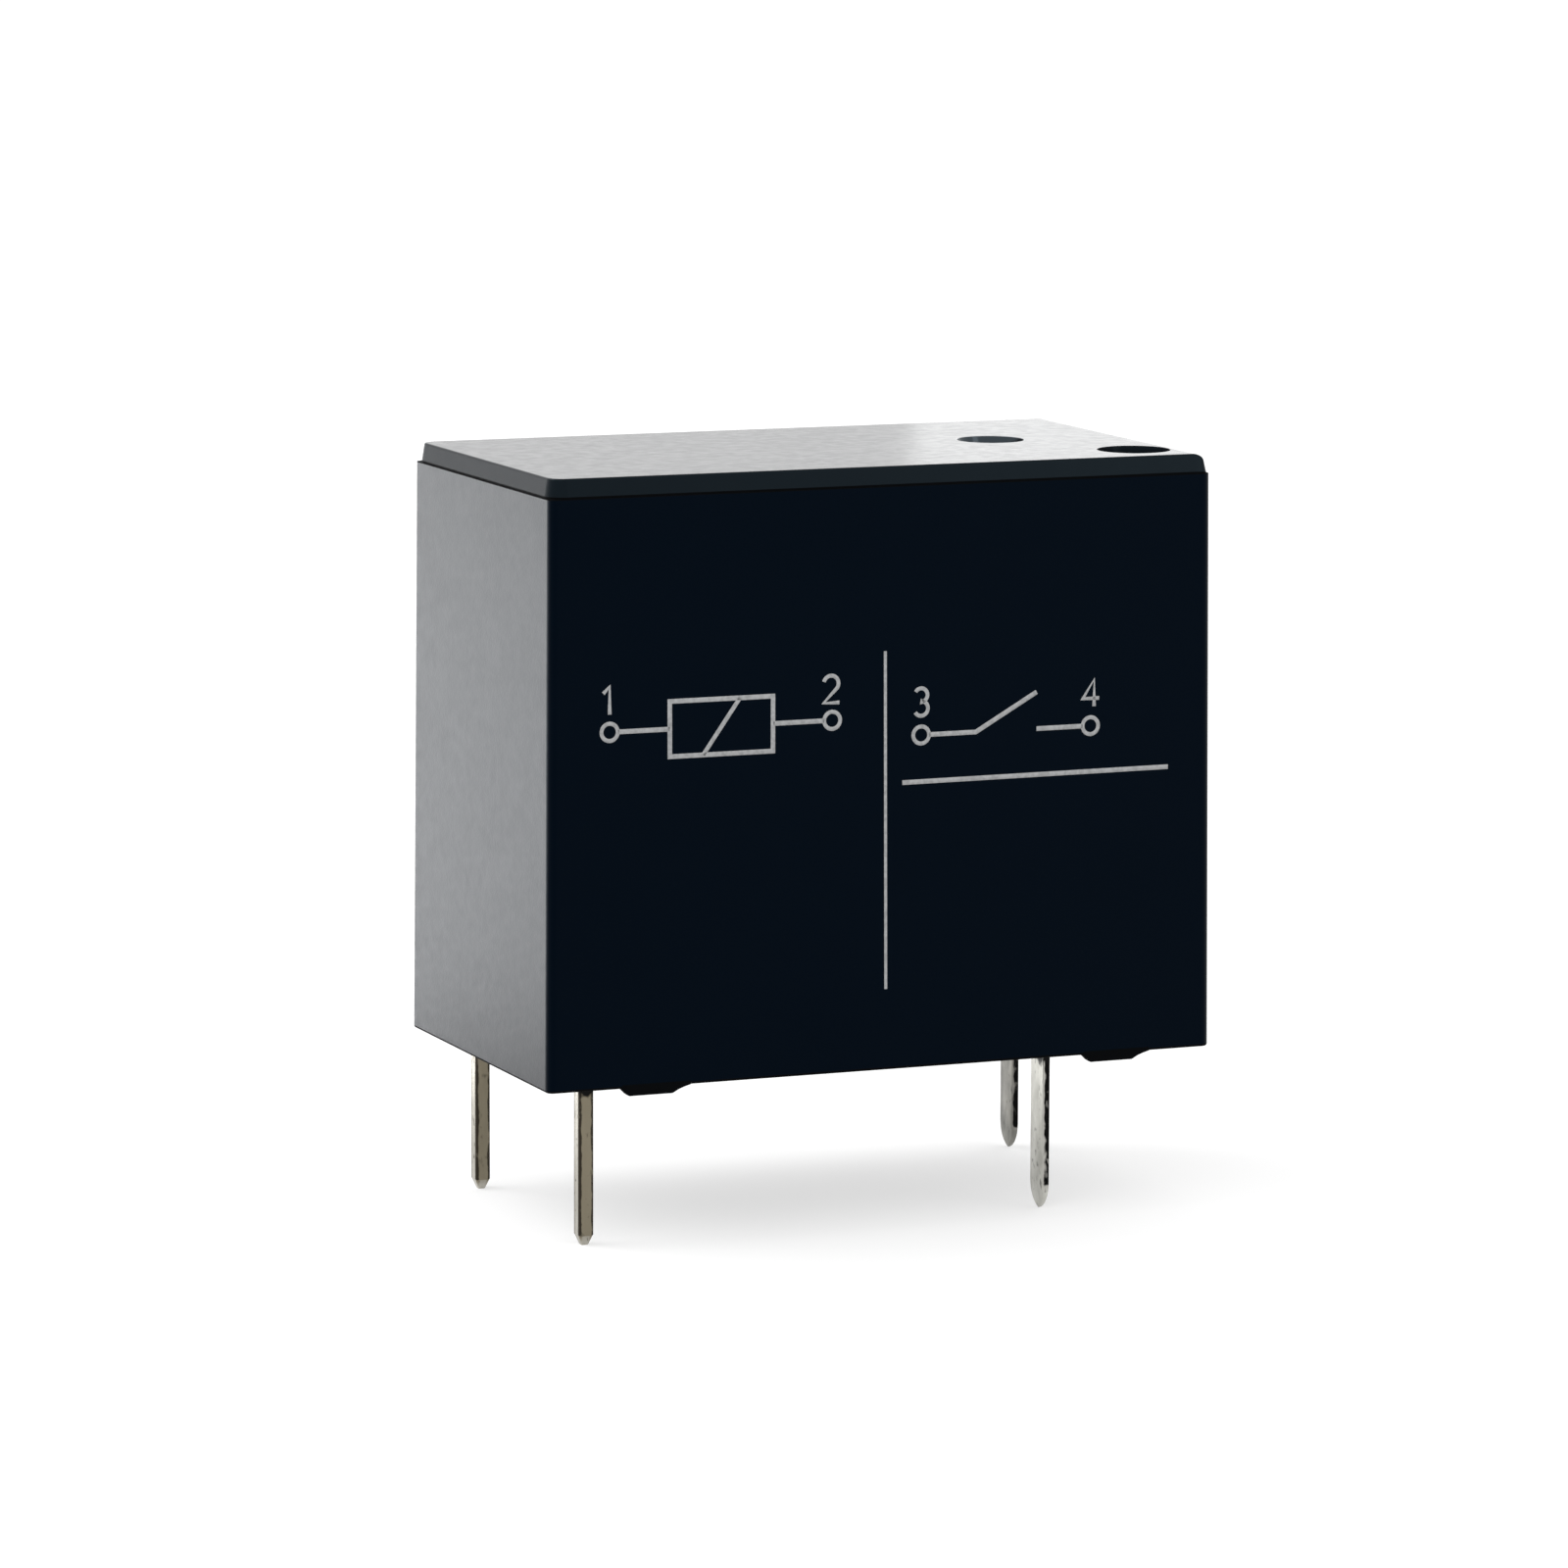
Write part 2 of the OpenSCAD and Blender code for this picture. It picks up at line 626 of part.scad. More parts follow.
// Outline of a terminal in Y and Z: pointed pin and the foot that lies across the base
module terminal_outline(side) {
  shoulder_z = tip_len - pin_len;
  nose_r = (tip_len * tip_len + terminal_w * terminal_w / 4) / terminal_w;
  foot_y = row_y - terminal_w / 2;
  translate([side * row_y, 0]) {
    translate([-terminal_w / 2, shoulder_z]) square([terminal_w, deck_z + plate_h - shoulder_z]);
    intersection() {
      translate([0, shoulder_z]) intersection_for (s = [-1, 1])
        translate([s * (nose_r - terminal_w / 2), 0]) circle(nose_r);
      translate([-terminal_w / 2, -pin_len]) square([terminal_w, tip_len]);
    }
  }
  translate([-foot_y, deck_z]) square([2 * foot_y, plate_h]);
}

// Stamped terminal that carries the blade
module common_terminal() {
  color("#c9c6bc") difference() {
    along_x(common_x - terminal_t / 2, terminal_t) terminal_outline(-1);
    for (sy = [-1, 1])
      stub(common_x - terminal_t, common_x + terminal_t, sy * rivet_pitch / 2, rivet_z, rivet_r);
  }
}

// Stamped terminal with a tongue that holds the fixed contact
module fixed_terminal() {
  color("#c9c6bc") difference() {
    along_x(tongue_x0, terminal_t) {
      terminal_outline(1);
      translate([-tongue_w / 2, deck_z]) square([tongue_w, contact_z - deck_z]);
      translate([0, contact_z]) circle(tongue_w / 2);
    }
    stub(fixed_x - terminal_t, fixed_x + terminal_t, 0, contact_z, shank_r);
  }
}

// Flat contact riveted through the fixed terminal's tongue
module fixed_contact() {
  back_x = tongue_x0 + terminal_t;
  color("#d9d9d6") {
    stub(fixed_face_x, tongue_x0, 0, contact_z, contact_r);
    stub(fixed_face_x, back_x + tail_t, 0, contact_z, shank_r);
    stub(back_x, back_x + tail_t, 0, contact_z, shank_r + tail_t);
  }
}

// Square coil pin with a chamfered tip; its top end is the post for the wire
module coil_pin(side) {
  translate([coil_pin_x, side * row_y, chamfer_len - pin_len]) {
    linear_extrude(post_top_z + pin_len - chamfer_len) square(coil_pin_t, center = true);
    mirror([0, 0, 1]) linear_extrude(chamfer_len, scale = coil_tip_t / coil_pin_t, slices = 1)
      square(coil_pin_t, center = true);
  }
}

module coil_pin_front() { color("#b9b6aa") coil_pin(-1); }

module coil_pin_rear() { color("#b9b6aa") coil_pin(1); }

// A round wire along a list of points that never run straight up or down
module wire(path, r) {
  last = len(path) - 1;
  rings = [for (i = [0 : last])
    let (t = path[min(i + 1, last)] - path[max(i - 1, 0)],
         n = cross(t, [0, 0, 1]) / norm(cross(t, [0, 0, 1])),
         b = cross(n, t) / norm(t))
    for (k = [0 : wire_sides - 1])
      let (a = 360 * k / wire_sides) path[i] + r * (cos(a) * n + sin(a) * b)];
  walls = [for (i = [0 : last - 1], k = [0 : wire_sides - 1])
    let (j = (k + 1) % wire_sides)
    [i * wire_sides + k, (i + 1) * wire_sides + k, (i + 1) * wire_sides + j, i * wire_sides + j]];
  polyhedron(rings, concat([[for (k = [0 : wire_sides - 1]) k]], walls,
                           [[for (k = [wire_sides - 1 : -1 : 0]) last * wire_sides + k]]));
}

// End of the winding wire: turns around the rear coil pin, a straight run, a stretch of the winding
module coil_lead() {
  steps = turn_rings * lead_turns;
  pin = [coil_pin_x, row_y];
  coil = [coil_x, 0];
  turns = [for (i = [0 : steps]) let (left = 1 - i / steps)
    on_circle(pin, wrap_r, lead_angle + 360 * lead_turns * left, lead_z + lead_turns * lead_pitch * left)];
  wound = [for (a = [0 : hug_step : lead_hug]) on_circle(coil, wound_r, lead_angle - a, lead_z)];
  wire(concat(turns, wound), lead_r);
}

module coil_lead_front() { color("#b87333") mirror([0, 1, 0]) coil_lead(); }

module coil_lead_rear() { color("#b87333") coil_lead(); }

cover();
base();
sealing_resin();
bobbin();
coil_winding();
coil_tape();
core();
yoke();
armature();
hinge_spring();
push_card();
contact_blade();
moving_contact();
blade_rivets();
common_terminal();
fixed_terminal();
fixed_contact();
coil_pin_front();
coil_pin_rear();
coil_lead_front();
coil_lead_rear();
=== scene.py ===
import math
import bmesh
import bpy
import numpy as np
from mathutils import Matrix, Vector
from mathutils.geometry import tessellate_polygon


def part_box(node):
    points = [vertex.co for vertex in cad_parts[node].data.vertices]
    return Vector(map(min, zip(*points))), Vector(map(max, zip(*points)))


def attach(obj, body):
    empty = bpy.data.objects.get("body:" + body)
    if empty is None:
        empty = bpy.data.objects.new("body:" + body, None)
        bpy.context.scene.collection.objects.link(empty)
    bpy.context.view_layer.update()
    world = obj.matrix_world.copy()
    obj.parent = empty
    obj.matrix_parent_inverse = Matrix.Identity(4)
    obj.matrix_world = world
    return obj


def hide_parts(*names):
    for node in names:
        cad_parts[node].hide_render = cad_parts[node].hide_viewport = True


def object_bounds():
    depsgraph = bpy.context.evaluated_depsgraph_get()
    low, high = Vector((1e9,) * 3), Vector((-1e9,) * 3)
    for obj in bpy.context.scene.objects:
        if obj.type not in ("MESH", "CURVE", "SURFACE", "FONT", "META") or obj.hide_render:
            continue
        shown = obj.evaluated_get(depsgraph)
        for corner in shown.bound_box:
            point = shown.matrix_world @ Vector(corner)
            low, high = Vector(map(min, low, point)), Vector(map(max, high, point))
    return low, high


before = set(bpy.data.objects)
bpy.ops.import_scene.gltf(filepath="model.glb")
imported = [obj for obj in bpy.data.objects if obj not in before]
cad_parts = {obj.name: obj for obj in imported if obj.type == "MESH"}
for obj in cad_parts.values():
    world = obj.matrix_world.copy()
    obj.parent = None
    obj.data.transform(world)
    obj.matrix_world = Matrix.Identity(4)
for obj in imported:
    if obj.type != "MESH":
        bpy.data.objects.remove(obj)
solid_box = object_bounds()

# Bobbin
# The spool that the coil is wound on: two flanges on a barrel, moulded in dark glass-filled nylon.
# Its blocks hold the coil pins. The skin is dull, with short pale fibres just under it.
mm = 0.001
# A Mix node's colour sockets, by number because its other sockets have the same names
first_colour, second_colour, mixed_colour = 6, 7, 2


def new_finish(name, sockets):
    """A material whose shader takes the given constants on its own sockets."""
    finish = bpy.data.materials.new(name)
    finish.use_nodes = True
    shader = finish.node_tree.nodes["Principled BSDF"]
    for socket, value in sockets.items():
        shader.inputs[socket].default_value = value
    return finish


def add_node(finish, kind, inputs, **settings):
    """One shader node. An input is a constant, or the output of another node, which is linked."""
    node = finish.node_tree.nodes.new("ShaderNode" + kind)
    for key, value in settings.items():
        setattr(node, key, value)
    for key, value in inputs.items():
        if isinstance(value, bpy.types.NodeSocket):
            finish.node_tree.links.new(value, node.inputs[key])
        else:
            node.inputs[key].default_value = value
    return node


def feed(finish, sockets):
    """Links node outputs to the shader's sockets."""
    shader = finish.node_tree.nodes["Principled BSDF"]
    for socket, output in sockets.items():
        finish.node_tree.links.new(output, shader.inputs[socket])


def grain(finish, size_mm, detail=3.0, stretch=(1, 1, 1)):
    """Cloudy noise whose lumps are about size_mm wide, drawn out along each axis by stretch."""
    place = add_node(finish, "TexCoord", {}).outputs["Object"]
    drawn = add_node(finish, "Mapping", {"Vector": place, "Scale": tuple(1 / s for s in stretch)})
    noise = add_node(finish, "TexNoise", {
        "Vector": drawn.outputs["Vector"], "Scale": 1 / (size_mm * mm), "Detail": detail})
    return noise.outputs["Fac"]


def span(finish, value, low, high, start=0.3, stop=0.7):
    """Stretches a pattern: from start to stop it runs from low to high, and it stays level beyond them."""
    ramp = add_node(finish, "MapRange", {
        "Value": value, "From Min": start, "From Max": stop, "To Min": low, "To Max": high})
    return ramp.outputs["Result"]


def tint(finish, share, low, high):
    """Mixes two colours by a 0 to 1 pattern."""
    mix = add_node(finish, "Mix", {"Factor": share, first_colour: (*low, 1), second_colour: (*high, 1)},
                   data_type="RGBA")
    return mix.outputs[mixed_colour]


def relief(finish, height, depth_mm, under=None):
    """Bump of the given depth, laid over another bump if there is one."""
    inputs = {"Height": height, "Distance": depth_mm * mm, "Strength": 1.0}
    if under is not None:
        inputs["Normal"] = under
    return add_node(finish, "Bump", inputs).outputs["Normal"]


def dress(names, finish):
    """Gives CAD nodes a finish in their material slots."""
    for name in names:
        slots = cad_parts[name].data.materials
        slots.clear()
        slots.append(finish)


spool_nylon = new_finish("spool_nylon", {"IOR": 1.53, "Specular IOR Level": 0.4})
fibres = grain(spool_nylon, 0.12, 2, (4, 1, 1))
pale_fibres = span(spool_nylon, fibres, 0, 1, 0.45, 0.75)
feed(spool_nylon, {
    "Base Color": tint(spool_nylon, pale_fibres, (0.036, 0.031, 0.027), (0.075, 0.066, 0.057)),
    "Roughness": span(spool_nylon, grain(spool_nylon, 0.6), 0.45, 0.62),
    "Normal": relief(spool_nylon, fibres, 0.012)})
dress(["bobbin"], spool_nylon)

# Winding, its two wire ends and the tape
# Enamelled copper wire is wound on the spool in close turns, its ends are turned around the coil pins,
# and an amber polyester film is lapped around the coil to hold the last layer.
wire_pitch, barrel_r = 0.11 * mm, 1.95 * mm
steps_per_turn, spokes = 6, 72
weld_reach, sliver = 0.0002 * mm, 0.00001 * mm


def at_height(outline, z, centre=0):
    """A flat outline as points at height z, which is one number or one for each point."""
    moved = outline + centre
    return np.stack([moved.real, moved.imag, np.broadcast_to(z, moved.shape)], axis=-1)


def skin(rings):
    """Quads between neighbouring rings of equal length: points j and j + 1 of a ring and of the next."""
    rings = np.asarray(rings)
    count, size = rings.shape[:2]
    ring, step = np.meshgrid(np.arange(count - 1) * size, np.arange(size), indexing="ij")
    here, ahead = ring + step, ring + (step + 1) % size
    quads = np.stack([here, ahead, ahead + size, here + size], axis=-1)
    return rings.reshape(-1, 3), quads.reshape(-1, 4)


def patch(grid):
    """Quads of an open grid of points, one between each four neighbours."""
    rows, columns = grid.shape[:2]
    row, column = np.meshgrid(np.arange(rows - 1) * columns, np.arange(columns - 1), indexing="ij")
    here = (row + column).ravel()
    quads = np.stack([here, here + 1, here + columns + 1, here + columns], axis=-1)
    return grid.reshape(-1, 3), quads


def lid(ring, faces_up):
    """One flat face over a ring that runs anticlockwise seen from above."""
    order = np.arange(len(ring))[None]
    return np.asarray(ring), order if faces_up else order[:, ::-1]


def make_piece(name, surfaces, finishes, stands_for=(), sharp=32, marks=None):
    """Puts surfaces, each points, an array of faces and the number of its finish, into one mesh, welds
    their seams, keeps edges sharper than the given angle, and rides the piece on the relay's frame."""
    points = np.concatenate([s[0] for s in surfaces])
    starts = np.cumsum([0] + [len(s[0]) for s in surfaces[:-1]])
    corners = np.concatenate([(s[1] + start).ravel() for s, start in zip(surfaces, starts)])
    sides = np.concatenate([np.full(len(s[1]), s[1].shape[1]) for s in surfaces])
    kinds = np.concatenate([np.full(len(s[1]), s[2]) for s in surfaces])
    mesh = bpy.data.meshes.new(name)
    mesh.vertices.add(len(points))
    mesh.vertices.foreach_set("co", points.astype(np.float32).ravel())
    mesh.loops.add(len(corners))
    mesh.loops.foreach_set("vertex_index", corners.astype(np.int32))
    mesh.polygons.add(len(sides))
    mesh.polygons.foreach_set("loop_start", (np.cumsum(sides) - sides).astype(np.int32))
    mesh.polygons.foreach_set("material_index", kinds.astype(np.int32))
    mesh.update(calc_edges=True)
    if marks is not None:
        layer = mesh.attributes.new("cut_edge_and_shade", "FLOAT", "POINT")
        layer.data.foreach_set("value", np.concatenate(marks).astype(np.float32))
    welded = bmesh.new()
    welded.from_mesh(mesh)
    bmesh.ops.remove_doubles(welded, verts=welded.verts, dist=weld_reach)
    bmesh.ops.dissolve_degenerate(welded, edges=welded.edges, dist=sliver)
    welded.to_mesh(mesh)
    welded.free()
    mesh.shade_smooth()
    mesh.set_sharp_from_angle(angle=math.radians(sharp))
    for finish in finishes:
        mesh.materials.append(finish)
    piece = bpy.data.objects.new(name, mesh)
    bpy.context.scene.collection.objects.link(piece)
    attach(piece, "frame")
    if stands_for:
        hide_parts(*stands_for)


def wound_turns(low, high):
    """The last layer of wire as one helix of round turns, cut flat by the flanges: height rises one pitch
    in each turn, and the radius is the coil's own less what a circle of half a pitch falls away from the
    middle of the wire. The flat ends and the bore close it."""
    middle, wire_r = complex(*(low + high)[:2] / 2), wire_pitch / 2
    coil_r, tall = (high[0] - low[0]) / 2, high[2] - low[2]
    turn = np.linspace(0, 1, spokes + 1)
    row = np.arange(-steps_per_turn, math.ceil(tall / wire_pitch * steps_per_turn) + 1)
    rise = np.clip((row[:, None] / steps_per_turn + turn) * wire_pitch, 0, tall)
    off = ((rise / wire_pitch - turn) % 1 - 0.5) * wire_pitch
    radius = coil_r - wire_r + np.sqrt(np.maximum(wire_r ** 2 - off ** 2, 0))
    spoke = np.broadcast_to(np.exp(2j * np.pi * turn), radius.shape)
    outer = at_height(radius * spoke, low[2] + rise, middle)
    bore = [at_height(barrel_r * spoke[0, :-1], z, middle) for z in (high[2], low[2])]
    return [(*patch(outer), 0), (*skin([outer[-1, :-1], *bore, outer[0, :-1]]), 0)]


wire_copper = new_finish("wire_copper", {
    "Metallic": 1.0, "Coat Weight": 0.6, "Coat Roughness": 0.12, "Coat IOR": 1.55})
drift = grain(wire_copper, 0.5, 2, (3, 3, 1))
feed(wire_copper, {
    "Base Color": tint(wire_copper, drift, (0.50, 0.17, 0.06), (0.72, 0.31, 0.13)),
    "Roughness": span(wire_copper, grain(wire_copper, 0.2), 0.22, 0.4)})
dress(["coil_lead_front", "coil_lead_rear"], wire_copper)
coil_low, coil_high = (np.array(c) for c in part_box("coil_winding"))
make_piece("coil_wound", wound_turns(coil_low, coil_high), [wire_copper],
           stands_for=["coil_winding"], sharp=50)
tape_film = new_finish("tape_film", {
    "Roughness": 0.22, "IOR": 1.6, "Coat Weight": 0.3, "Coat Roughness": 0.08})
under_film = grain(tape_film, 0.9, 2, (1, 1, 0.2))
feed(tape_film, {
    "Base Color": tint(tape_film, under_film, (0.42, 0.22, 0.02), (0.72, 0.46, 0.07)),
    "Normal": relief(tape_film, under_film, 0.01)})
dress(["coil_tape"], tape_film)

# Core, yoke and armature
# Soft iron: the core is turned and swaged, the yoke and armature are stamped and bent from strip.
# All three are zinc plated, so they are a cool grey with faint rolling lines and cloudy patches.


def plated_finish(name, colour, lines, fade):
    """Plated metal with fine lines drawn out along one axis and slow cloudy patches."""
    finish = new_finish(name, {"Metallic": 1.0})
    rolled = grain(finish, 0.05, 2, lines)
    cloud = grain(finish, 1.6, 4)
    darker = tuple(c * fade for c in colour)
    feed(finish, {
        "Base Color": tint(finish, span(finish, cloud, 0, 1), darker, colour),
        "Roughness": span(finish, cloud, 0.42, 0.28),
        "Normal": relief(finish, rolled, 0.004)})
    return finish


dress(["core"], plated_finish("turned_iron", (0.56, 0.57, 0.59), (30, 30, 1), 0.8))
dress(["yoke", "armature"], plated_finish("rolled_iron", (0.52, 0.53, 0.55), (1, 1, 40), 0.78))

# Hinge spring, contact blade, rivets and contact buttons
# Thin rolled leaves: stainless for the spring, a copper alloy for the blade, fixed by pips and brass
# rivets. The buttons are coined silver alloy, a little tarnished in patches.
dress(["hinge_spring"], plated_finish("spring_leaf", (0.60, 0.60, 0.59), (1, 1, 60), 0.9))
dress(["contact_blade"], plated_finish("blade_leaf", (0.66, 0.38, 0.19), (1, 1, 60), 0.82))
dress(["blade_rivets"], plated_finish("rivet_brass", (0.70, 0.50, 0.24), (2, 1, 1), 0.75))
button_silver = plated_finish("button_silver", (0.80, 0.79, 0.76), (1, 1, 1), 0.7)
dress(["moving_contact", "fixed_contact"], button_silver)

# Push card and base
# The card is natural white polyester, slid through the barrier's window; the base is the same plastic in
# black and carries the terminals, the barrier and the magnet.
card_plastic = new_finish("card_plastic", {
    "IOR": 1.55, "Subsurface Weight": 0.08, "Subsurface Scale": 0.4 * mm})
feed(card_plastic, {
    "Base Color": tint(card_plastic, grain(card_plastic, 0.8), (0.70, 0.67, 0.58), (0.80, 0.78, 0.70)),
    "Roughness": span(card_plastic, grain(card_plastic, 0.15), 0.35, 0.5),
    "Normal": relief(card_plastic, grain(card_plastic, 0.06), 0.004)})
dress(["push_card"], card_plastic)
base_plastic = new_finish("base_plastic", {"IOR": 1.55, "Specular IOR Level": 0.3})
base_cloud = grain(base_plastic, 0.5)
feed(base_plastic, {
    "Base Color": tint(base_plastic, base_cloud, (0.012, 0.013, 0.015), (0.024, 0.025, 0.028)),
    "Roughness": span(base_plastic, grain(base_plastic, 0.3), 0.4, 0.55),
    "Normal": relief(base_plastic, grain(base_plastic, 0.05), 0.006)})
dress(["base"], base_plastic)

# Coil pins
# Square drawn wire, tinned, pressed through the spool's blocks. The cut end is struck to a blunt point,
# and the tin is dull and brownish, with draw lines along it and a little resin crept down its root. Its
# front and back faces are painted darker than its sides, as painted shade, and its corner strips are
# mostly near black.
pin_half, pin_edge, pin_tip, pin_middle = 0.2 * mm, 0.05 * mm, 0.28 * mm, 2 * mm
burr_reach = 0.05 * mm
film_start, film_full, film_ragged, film_end = 0.13 * mm, 0.23 * mm, 0.5 * mm, 0.05 * mm
film_black, torn_fade = (0.008, 0.008, 0.008), 0.22
poured_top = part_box("sealing_resin")[1][2]
near_end = np.linspace(0, 0.026, 9)[1:]
side_steps = np.concatenate([near_end, np.linspace(0.06, 0.94, 13), 1 - near_end[::-1]])
corner_steps = np.linspace(0, np.pi / 2, 7)


def rounded_outline(half_w, half_d, radius):
    """A rectangle with round corners, anticlockwise from the front left, as complex numbers x + iy:
    each side is sampled closely near its ends and widely between, then each corner is a quarter circle.
    There is one radius, or one for each corner from the front right on."""
    r = np.broadcast_to(radius, 4)
    centres = np.array([1, 1, -1, -1]) * (half_w - r) + 1j * np.array([-1, 1, 1, -1]) * (half_d - r)
    begin = np.array([-0.5, 0, 0.5, 1.0]) * np.pi
    arcs = centres[:, None] + r[:, None] * np.exp(1j * (begin[:, None] + corner_steps))
    before = np.roll(arcs[:, -1], 1)
    sides = before[:, None] + (arcs[:, 0] - before)[:, None] * side_steps
    return np.concatenate([sides, arcs], axis=1).ravel()


def tin_finish(name, bright, dull, sheared_and_shade, dark, tear=1.2):
    """Tin over copper alloy: lines along the pin, nicks, and a dark film of resin crept down its root.
    Where the piece's mark attribute is a half, it takes the third colour: that of a sheared face on the
    terminals, and painted shade on the coil pins' front and back faces. It takes the dark colour where
    mark
    and noise together pass tear: a torn edge on the terminals, near-black corner strips on the coil pins."""
    finish = new_finish(name, {"Metallic": 1.0})
    drawn = grain(finish, 0.06, 3, (1, 1, 14))
    stain = grain(finish, 0.35, 4, (1, 1, 2.2))
    nick = span(finish, grain(finish, 0.16, 2, (1, 1, 1.6)), 0, 1, 0.62, 0.74)
    place = add_node(finish, "TexCoord", {}).outputs["Object"]
    height = add_node(finish, "SeparateXYZ", {"Vector": place}).outputs["Z"]
    ragged = add_node(finish, "Math", {0: grain(finish, 0.3, 2), 1: film_ragged, 2: height},
                      operation="MULTIPLY_ADD").outputs[0]
    wetted = span(finish, ragged, 0, 1, film_start, film_full)
    sealed = span(finish, height, 1, 0, poured_top, poured_top + film_end)
    film = add_node(finish, "Math", {0: wetted, 1: sealed}, operation="MULTIPLY").outputs[0]
    cut = add_node(finish, "Attribute", {}, attribute_name="cut_edge_and_shade").outputs["Fac"]
    torn = add_node(finish, "Math", {0: grain(finish, 0.22, 3, (1, 1, 1.5)), 1: 1.0, 2: cut},
                    operation="MULTIPLY_ADD").outputs[0]
    colour = tint(finish, span(finish, stain, 0, 1, 0.35, 0.68), dull, bright)
    nicked = tuple(0.5 * c for c in sheared_and_shade)
    layers = [(span(finish, cut, 0, 1, 0.05, 0.45), sheared_and_shade),
              (span(finish, torn, 0, 1, tear, tear + torn_fade), dark),
              (nick, nicked),
              (film, film_black)]
    for share, layer in layers:
        mix = add_node(finish, "Mix", {"Factor": share, first_colour: colour, second_colour: (*layer, 1)},
                       data_type="RGBA")
        colour = mix.outputs[mixed_colour]
    feed(finish, {
        "Base Color": colour,
        "Roughness": span(finish, stain, 0.46, 0.3),
        "Normal": relief(finish, drawn, 0.004, relief(finish, stain, 0.02))})
    return finish


# The sheared colour here is painted shade, laid on the pins' front and back faces.
coil_pin_tin = tin_finish("coil_pin_tin", bright=(0.50, 0.48, 0.43), dull=(0.38, 0.365, 0.32),
                          sheared_and_shade=(0.205, 0.180, 0.130), dark=(0.032, 0.027, 0.020))
# From the tip up: the pin's half width, how far each ring is down the point, and how much it is marked
pin_widths = pin_half * np.array([0.42, 0.52, 0.90, 0.985, 1.0, 1.0, 1.0])
point_share = np.array([1.0, 0.86, 0.16, 0.03, 0.0])
marked_along = np.array([0, 0, 0.5, 1, 1, 1, 1])
to_corner = np.minimum(side_steps, 1 - side_steps) * 2 * (pin_half - pin_edge)
burr = np.clip(1 - to_corner / burr_reach, 0, 1)
# Around the pin: a half mark on the front and back faces, which gives them painted shade, none on the two
# sides, and a full mark along the corners and near them.
edge_and_shade_around = np.concatenate([np.concatenate([plain + (1 - plain) * burr, np.ones(len(corner_steps))])
                                for plain in (0.5, 0, 0.5, 0)])
for name in ("coil_pin_front", "coil_pin_rear"):
    low, high = (np.array(c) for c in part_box(name))
    middle = complex(*(low + high)[:2] / 2)
    heights = np.concatenate([low[2] + pin_tip * (1 - point_share), [low[2] + pin_middle, high[2]]])
    rings = [at_height(rounded_outline(w, w, w * pin_edge / pin_half), z, middle)
             for w, z in zip(pin_widths, heights)]
    surfaces = [(*skin(rings), 0), (*lid(rings[0], False), 0), (*lid(rings[-1], True), 0)]
    marks = [np.outer(marked_along, edge_and_shade_around).ravel(), 0 * edge_and_shade_around, edge_and_shade_around]
    make_piece(name + "_tinned", surfaces, [coil_pin_tin],
               stands_for=[name], sharp=17, marks=marks)

# Contact terminals
# Flat pins stamped from tinned copper alloy, with the foot that lies across the base and, on one of them,
# the tongue of the fixed contact. The die leaves dark torn edges, and the ends are coined to a point.
flat_half, pin_row, tongue_half = 0.4 * mm, 3.81 * mm, 1.8 * mm
deck_z, shelf_z = 2.15 * mm, 4.35 * mm
tip_len, coin_len, coin_depth, die_roll = 0.55 * mm, 0.6875 * mm, 0.05 * mm, 0.06 * mm


def terminal_outline(low, high, side, tongue):
    """Outline in y and z, anticlockwise seen from +x: pin with an ogive of two arcs, foot, and the
    tongue's half circle. A terminal on the rear side is its mirror image."""
    foot_end = pin_row - flat_half
    down = np.linspace(0, 1, 9)
    nose_r = (tip_len ** 2 + flat_half ** 2) / (2 * flat_half)
    bow = np.sqrt(nose_r ** 2 - (down * tip_len) ** 2) - (nose_r - flat_half)
    nose = np.stack([bow, low[2] + tip_len - down * tip_len], axis=-1)
    nose = np.concatenate([[[flat_half, low[2] + coin_len]], nose])
    pin = np.concatenate([nose * [-1, 1], nose[::-1][1:]]) + [-pin_row, 0]
    top = np.array([[-foot_end, deck_z], [foot_end, deck_z], [foot_end, shelf_z]])
    if tongue:
        arc = np.linspace(0, np.pi, 33)
        crest = tongue_half * np.stack([np.cos(arc), np.sin(arc) - 1], axis=-1) + [0, high[2]]
        top = np.concatenate([top, [[tongue_half, shelf_z]], crest, [[-tongue_half, shelf_z]]])
    outline = np.concatenate([pin, top, [[-pin_row - flat_half, shelf_z]]])
    return outline if side < 0 else (outline * [-1, 1])[::-1]


def flat_face(loops, upward):
    """Triangles over flat loops of points, the first cut by the others, which are holes. In the first two
    axes of the points they run anticlockwise if upward is true, and clockwise if it is not."""
    points = np.concatenate(loops)
    triangles = np.array(tessellate_polygon([(loop / mm).tolist() for loop in loops]))
    a, b, c = (points[triangles[:, k], :2] for k in range(3))
    ahead, aside = b - a, c - a
    wound = ahead[:, 0] * aside[:, 1] - ahead[:, 1] * aside[:, 0]
    turned = wound < 0 if upward else wound > 0
    triangles[turned] = triangles[turned][:, ::-1]
    return triangles


